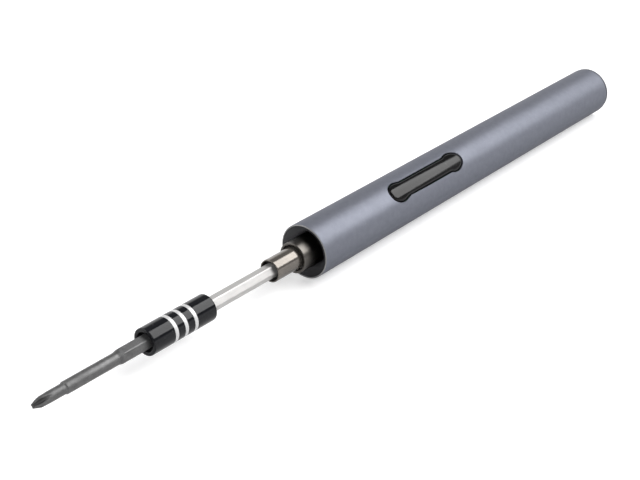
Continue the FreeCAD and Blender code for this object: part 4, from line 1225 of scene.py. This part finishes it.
@dataclass
class Nose(Assembly):
    """The black bezel with its recess and lamps, the collar and the turning chuck."""

    face_x: float = 0.1
    face_r: float = 8.0
    face_edge: float = 0.12
    flange_back: float = 1.55
    skirt_r: float = 7.45
    skirt_bore_r: float = 6.47
    skirt_back: float = 8.6
    recess_r: float = 7.3
    recess_half: float = 4.9
    recess_floor: float = 4.1
    recess_roll: float = 11.0
    floor_back: float = 5.1
    collar_hole_r: float = 4.85
    lens_r: float = 1.15
    lens_orbit: float = 6.0
    lens_front: float = 3.7
    lens_round: float = 0.35
    collar_front: float = -5.25
    collar_r: float = 4.8
    collar_bore_r: float = 4.0
    collar_edge: float = 0.3
    gearbox_front: float = 6.6
    gear_space: float = 7.8
    ring_end: float = 16.9
    gearbox_back: float = 17.9
    gearbox_r: float = 6.415
    ring_pitch_r: float = 5.4
    ring_root_r: float = 5.715
    ring_teeth: int = 36
    chuck_front: float = -15.4
    chuck_r: float = 3.5
    chuck_edge: float = 0.25
    mouth_r: float = 3.1
    mouth_depth: float = 1.5
    socket_across: float = 4.06
    socket_floor: float = -0.9
    carrier_front: float = 8.1
    carrier_back: float = 9.6
    carrier_r: float = 4.85
    clip_groove: Span = (-2.9, -2.4)
    clip_sink: float = 0.35
    hex_roll: float = 18.0

    def bezel(self) -> BMesh:
        """Front insert with a slot-shaped recess round the collar.

        Returns:
            The mesh in the tool's frame.
        """
        ease = self.face_edge
        slot, part, wide = (
            double_d_rule(self.recess_r + grow, self.recess_half + grow, self.recess_roll)
            for grow in (0, ease / 3, ease))
        front = self.face_x
        stations = [
            Station(front, wide),
            Station(front, round_rule(self.face_r - ease)),
            Station(front + ease / 3, round_rule(self.face_r - ease / 3)),
            Station(front + ease, round_rule(self.face_r)),
            Station(self.flange_back, round_rule(self.face_r)),
            Station(self.flange_back, round_rule(self.skirt_r)),
            Station(self.skirt_back, round_rule(self.skirt_r)),
            Station(self.skirt_back, round_rule(self.skirt_bore_r)),
            Station(self.floor_back, round_rule(self.skirt_bore_r)),
            Station(self.floor_back, round_rule(self.collar_hole_r)),
            Station(self.recess_floor, round_rule(self.collar_hole_r)),
            Station(self.recess_floor, slot),
            Station(front + ease, slot),
            Station(front + ease / 3, part),
        ]
        return loft(stations, FLATS_TURN, closed=True)

    def lenses(self) -> BMesh:
        """Two clear lenses with rounded fronts.

        Returns:
            The mesh in the tool's frame.
        """
        profile = eased([(self.floor_back, NEAR), (self.floor_back, self.lens_r),
                         (self.lens_front, self.lens_r), (self.lens_front, NEAR)],
                        self.lens_round, steps=6)
        both = []
        for side in (1, -1):
            lens = turned(profile, LENS_TURN)
            bmesh.ops.translate(lens, vec=(0, 0, side * self.lens_orbit), verts=lens.verts)
            bmesh.ops.rotate(lens, verts=lens.verts, cent=(0, 0, 0),
                             matrix=Matrix.Rotation(math.radians(self.recess_roll), 3, "X"))
            both.append(lens)
        return joined(both)

    def collar(self) -> BMesh:
        """Collar and ring gear housing.

        Returns:
            The mesh in the tool's frame.
        """
        outer = eased([(self.gearbox_back, self.gearbox_r), (self.gearbox_front, self.gearbox_r),
                       (self.gearbox_front, self.collar_r), (self.collar_front, self.collar_r),
                       (self.collar_front, self.collar_bore_r), (self.gear_space, self.collar_bore_r)],
                      self.collar_edge, steps=4)
        teeth = toothed_rule(self.ring_pitch_r, self.ring_root_r - self.ring_pitch_r, self.ring_teeth)
        stations = [*round_stations(outer), Station(self.gear_space, teeth),
                    Station(self.ring_end, teeth), Station(self.ring_end, round_rule(self.ring_root_r)),
                    Station(self.gearbox_back, round_rule(self.ring_root_r))]
        return loft(stations, self.ring_teeth * POINTS_PER_TOOTH, closed=True)

    def chuck(self) -> BMesh:
        """Output spindle: polished nose with a hex socket, clip groove and carrier.

        Returns:
            The mesh in the tool's frame.
        """
        groove_front, groove_back = self.clip_groove
        groove_r = self.chuck_r - self.clip_sink
        mouth_floor = self.chuck_front + self.mouth_depth
        outside = [(self.carrier_back, NEAR), (self.carrier_back, self.carrier_r),
                   (self.carrier_front, self.carrier_r), (self.carrier_front, self.chuck_r),
                   (groove_back, self.chuck_r), (groove_back, groove_r), (groove_front, groove_r),
                   (groove_front, self.chuck_r), (self.chuck_front, self.chuck_r),
                   (self.chuck_front, self.mouth_r), (mouth_floor, self.mouth_r)]
        socket = hex_rule(self.socket_across, self.mouth_r, self.hex_roll)
        stations = [*round_stations(eased(outside, self.chuck_edge, steps=4)[1:]),
                    Station(mouth_floor, socket), Station(self.socket_floor, socket)]
        return loft(stations, FLATS_TURN)

    def build(self) -> None:
        """Make the nose's pieces."""
        self.add("recessed_bezel", self.bezel(), "nose_bezel")
        self.add("lamp_domes", self.lenses(), "lamp_lenses")
        self.add("turned_collar", self.collar(), "gearbox_housing")
        self.add("polished_chuck", self.chuck(), "chuck_spindle")


@dataclass
class Extension(Assembly):
    """The pull-out hex rod and its ringed sleeve."""

    rod_front: float = -55.8
    rod_rear: float = -3.95
    across: float = 3.96
    corner_r: float = 2.21
    roll: float = 18.0
    rod_edge: float = 0.2
    sleeve_front: float = -65.1
    sleeve_rear: float = -41.5
    sleeve_r: float = 4.0
    sleeve_edge: float = 0.4
    mouth_r: float = 2.85
    mouth_depth: float = 2.0
    socket_across: float = 4.06
    bit_roll: float = 37.0
    bands: tuple[float, ...] = (-56.85, -53.15, -49.45)
    band_width: float = 1.2
    band_depth: float = 0.5
    band_gap: float = 0.01
    band_edge: float = 0.05

    def rod(self) -> BMesh:
        """Hex rod with eased corners and ends.

        Returns:
            The mesh in the tool's frame.
        """
        full = hex_rule(self.across, self.corner_r, self.roll)
        ended = hex_rule(self.across, self.corner_r - self.rod_edge, self.roll)
        cut = self.rod_edge / 2
        stations = [Station(self.rod_front, ended), Station(self.rod_front + cut, full),
                    Station(self.rod_rear - cut, full), Station(self.rod_rear, ended)]
        return loft(stations, FLATS_TURN)

    def sleeve(self) -> BMesh:
        """Turned sleeve with grooves for its bands, a mouth and a hex socket.

        Returns:
            The mesh in the tool's frame.
        """
        points = [(self.sleeve_rear, self.corner_r), (self.sleeve_rear, self.sleeve_r)]
        for centre in sorted(self.bands, reverse=True):
            back, front = centre + self.band_width / 2, centre - self.band_width / 2
            floor = self.sleeve_r - self.band_depth
            points += [(back, self.sleeve_r), (back, floor), (front, floor), (front, self.sleeve_r)]
        mouth_floor = self.sleeve_front + self.mouth_depth
        points += [(self.sleeve_front, self.sleeve_r), (self.sleeve_front, self.mouth_r),
                   (mouth_floor, self.mouth_r)]
        profile = self.eased_ends(points)
        socket = hex_rule(self.socket_across, self.mouth_r, self.bit_roll)
        hold = hex_rule(self.across + 2 * self.band_gap, self.corner_r + self.band_gap, self.roll)
        stations = [Station(self.sleeve_rear, hold), *round_stations(profile),
                    Station(mouth_floor, socket), Station(self.rod_front, socket),
                    Station(self.rod_front, hold)]
        return loft(stations, FLATS_TURN, closed=True)

    def eased_ends(self, points: Profile) -> list[Span]:
        """Round the sleeve's two ends and leave the grooves sharp.

        Args:
            points: Profile of the sleeve from its rear to its mouth.

        Returns:
            The finer profile, without the rod's hole.
        """
        rear = eased(points[:3], self.sleeve_edge, steps=5)[1:-1]
        front = eased(points[-4:], self.sleeve_edge, steps=5)[1:]
        return [*rear, *points[2:-3], *front]

    def rings(self) -> BMesh:
        """Bright bands in the sleeve's grooves.

        Returns:
            The mesh in the tool's frame.
        """
        rings = []
        floor = self.sleeve_r - self.band_depth + self.band_gap
        half = self.band_width / 2
        for centre in self.bands:
            ring = turned([(centre - half, floor), (centre - half, self.sleeve_r),
                           (centre + half, self.sleeve_r), (centre + half, floor)])
            ease_edges(ring, self.band_edge, steps=2)
            rings.append(ring)
        return joined(rings)

    def build(self) -> None:
        """Make the extension's pieces."""
        self.add("drawn_hex_rod", self.rod(), "extension_rod")
        self.add("dark_sleeve", self.sleeve(), "extension_sleeve")
        self.add("bright_rings", self.rings(), "sleeve_bands")


@dataclass
class Bit(Assembly):
    """The cross-tip bit: hex end, round shank, thinner neck and fluted tip."""

    rear: float = -58.9
    hex_front: float = -73.4
    taper_front: float = -75.2
    neck_rear: float = -92.8
    neck_step: float = 0.3
    neck_ease: float = 0.1
    cone_rear: float = -100.3
    tip: float = -102.65
    across: float = 3.96
    corner_r: float = 2.21
    roll: float = 37.0
    rear_edge: float = 0.3
    shank_r: float = 1.75
    neck_r: float = 1.5
    tip_r: float = 0.72
    flutes: int = 4
    flute_r: float = 0.65
    flute_length: float = 5.45
    flute_roll: float = 7.0
    web: float = 0.4
    crease_deg: float = 11.0
    slices: int = 40

    def hex_at(self, turned_r: float) -> Rule:
        """Hexagon turned down to a radius."""
        return hex_rule(self.across, turned_r, self.roll)

    def tip_rule(self, x: float) -> Rule:
        """Fluted section at a place near the tip.

        Args:
            x: Place along the axis.

        Returns:
            Radius for each angle.
        """
        run = self.cone_rear - self.tip
        share = min(1.0, max(0.0, (x - self.tip) / run))
        body = round_rule(self.tip_r + (self.neck_r - self.tip_r) * share)
        rise = (x - self.tip) / self.flute_length
        distance = self.flute_r + self.web + (self.neck_r - self.web) * rise
        return grooved_rule(body, distance, self.flute_r, self.flutes, self.flute_roll)

    def mesh(self) -> BMesh:
        """Whole bit from its rear to its tip.

        Returns:
            The mesh in the tool's frame.
        """
        stations = [
            Station(self.rear, self.hex_at(self.corner_r - self.rear_edge)),
            Station(self.rear - self.rear_edge, self.hex_at(self.corner_r)),
            Station(self.hex_front, self.hex_at(self.corner_r)),
        ]
        for step in range(1, self.slices + 1):
            share = step / self.slices
            x = self.hex_front + (self.taper_front - self.hex_front) * share
            turned_r = self.corner_r + (self.shank_r - self.corner_r) * share
            stations.append(Station(x, self.hex_at(turned_r)))
        shoulder = eased([(self.taper_front, self.shank_r),
                          (self.neck_rear + self.neck_step, self.shank_r),
                          (self.neck_rear, self.neck_r), (self.tip + self.flute_length, self.neck_r)],
                         self.neck_ease)
        stations += round_stations(shoulder[1:])
        for step in range(1, self.slices + 1):
            x = self.tip + self.flute_length * (1 - step / self.slices)
            stations.append(Station(x, self.tip_rule(x)))
        return loft(stations, FLATS_TURN)

    def build(self) -> None:
        """Make the bit's piece."""
        self.add("fluted_bit", self.mesh(), "driver_bit", crease_deg=self.crease_deg)


# Studio

def hang_light(name: str, place: Vector, back: Vector, size: Span, radiance: float) -> None:
    """Hang a soft light.

    Args:
        name: Name of the light.
        place: Middle of its face.
        back: Direction away from what it lights.
        size: Length and width of its face in metres.
        radiance: Brightness of its face.
    """
    data = bpy.data.lights.new(name, "AREA")
    data.shape = "RECTANGLE"
    data.size, data.size_y = size
    data.energy = radiance * FACE_WATTS * size[0] * size[1]
    lamp = placed(name, data)
    lamp.location = place
    lamp.rotation_mode = "QUATERNION"
    lamp.rotation_quaternion = back.to_track_quat("Z", "X")


@dataclass(frozen=True)
class Fill:
    """A small soft light, turned to the tool."""

    place: tuple[float, float, float]
    size: float
    radiance: float

    def build(self, name: str) -> None:
        """Hang the light under this name."""
        place = Vector(self.place)
        hang_light(name, place, place, (self.size, self.size), self.radiance)


@dataclass
class Studio:
    """Pale floor, one broad soft light, a pale surround and the camera."""

    floor_reach: float = 6.0
    floor_parts: int = 8
    floor_tone: float = 0.75
    floor_rough: float = 0.9
    floor_glow: float = 0.38
    mirrored_glow: float = 0.25
    key_distance: float = 2.5
    key_turn_deg: float = 28.5
    key_along: float = 2.0
    key_size: Span = (3.15, 2.5)
    key_radiance: float = 5.15
    fills: tuple[Fill, ...] = (Fill((-1.85, -1.1, 1.3), 0.8, 4.0), Fill((-1.3, 1.6, 1.5), 1.6, 3.0))
    behind_range: Span = (0.0, 0.55)
    low_range: Span = (0.06, 0.16)
    overhead_range: Span = (0.32, 0.54)
    surround_dark: Color = (0.16, 0.16, 0.165)
    surround_pale: Color = (1.4, 1.4, 1.41)
    camera_place: tuple[float, float, float] = (-0.304724, -0.225731, 0.194594)
    camera_azimuth: float = 0.679858
    camera_dip: float = 0.476233
    lens: float = 76.687
    sensor_width: float = 36.0
    near_clip: float = 0.01

    def camera(self) -> None:
        """Put the camera at the photograph's viewpoint."""
        data = bpy.data.cameras.new("camera")
        data.lens = self.lens
        data.sensor_width = self.sensor_width
        data.clip_start = self.near_clip
        camera = placed("camera", data)
        dip, turn = self.camera_dip, self.camera_azimuth
        ahead = Vector((math.cos(turn) * math.cos(dip), math.sin(turn) * math.cos(dip), -math.sin(dip)))
        camera.location = self.camera_place
        camera.rotation_mode = "QUATERNION"
        camera.rotation_quaternion = ahead.to_track_quat("-Z", "Y")
        bpy.context.scene.camera = camera

    def key_light(self) -> None:
        """Broad soft light above the camera's side of the tool."""
        turn = math.radians(self.key_turn_deg)
        up = Vector((0, -math.sin(turn), math.cos(turn)))
        place = up * self.key_distance + Vector((self.key_along, 0, 0))
        hang_light("key", place, up, self.key_size, self.key_radiance)

    def surround(self) -> None:
        """Pale surround behind the tool, darker overhead and towards the camera."""
        world = bpy.data.worlds.new("studio")
        world.use_nodes = True
        bpy.context.scene.world = world
        web = Weaver(world.node_tree)
        shade = world.node_tree.nodes["Background"]
        way = web.node("SeparateXYZ")
        web.put(way.inputs[0], web.node("TexCoord").outputs["Generated"])
        ahead = web.math("ADD", web.math("MULTIPLY", way.outputs["X"], math.cos(self.camera_azimuth)),
                         web.math("MULTIPLY", way.outputs["Y"], math.sin(self.camera_azimuth)))
        behind = web.ranged(ahead, self.behind_range, (0, 1), smooth=True)
        low = web.ranged(way.outputs["Z"], self.low_range, (1, 0), smooth=True)
        pale = web.math("MAXIMUM", behind, low)
        overhead = web.ranged(way.outputs["Z"], self.overhead_range, (1, 0), smooth=True)
        lit = web.math("MULTIPLY", pale, overhead)
        color = web.blend(lit, (*self.surround_dark, 1), (*self.surround_pale, 1))
        web.put(shade.inputs["Color"], color)

    def floor(self) -> None:
        """Pale floor that stays white in sight and keeps the tool's shadow."""
        mesh = bmesh.new()
        bmesh.ops.create_grid(mesh, x_segments=self.floor_parts, y_segments=self.floor_parts,
                              size=self.floor_reach)
        piece = placed_mesh("floor", mesh)
        piece.data.materials.append(self.floor_finish())

    def floor_finish(self) -> bpy.types.Material:
        """White matt floor with a little glow of its own where it is seen.

        Returns:
            The material.
        """
        made = bpy.data.materials.new("floor_white")
        made.use_nodes = True
        web = Weaver(made.node_tree)
        shader = made.node_tree.nodes["Principled BSDF"]
        ray = web.node("LightPath").outputs
        mirrored = web.math("MAXIMUM", ray["Is Glossy Ray"], ray["Is Transmission Ray"])
        mirrored = web.math("MULTIPLY", mirrored, self.mirrored_glow)
        seen = web.math("MAXIMUM", ray["Is Camera Ray"], mirrored)
        web.feed(shader, Base_Color=(*grey(self.floor_tone), 1), Roughness=self.floor_rough,
                 Specular_IOR_Level=0.0, Emission_Color=(1, 1, 1, 1),
                 Emission_Strength=web.math("MULTIPLY", seen, self.floor_glow))
        return made

    def build(self) -> None:
        """Set up the studio."""
        self.camera()
        self.key_light()
        for number, fill in enumerate(self.fills, 1):
            fill.build(f"fill_{number}")
        self.surround()
        self.floor()
        bpy.context.scene.view_settings.view_transform = "Standard"


def main() -> None:
    """Dress the frame, build every piece and set up the studio."""
    logging.basicConfig(level=logging.INFO, format="%(message)s")
    paint = PaintShop()
    paint.coat_frame()
    for assembly in (Handle(), Nose(), Extension(), Bit()):
        assembly.build()
        assembly.dress(paint)
    Studio().build()


if __name__ == "__main__":
    main()
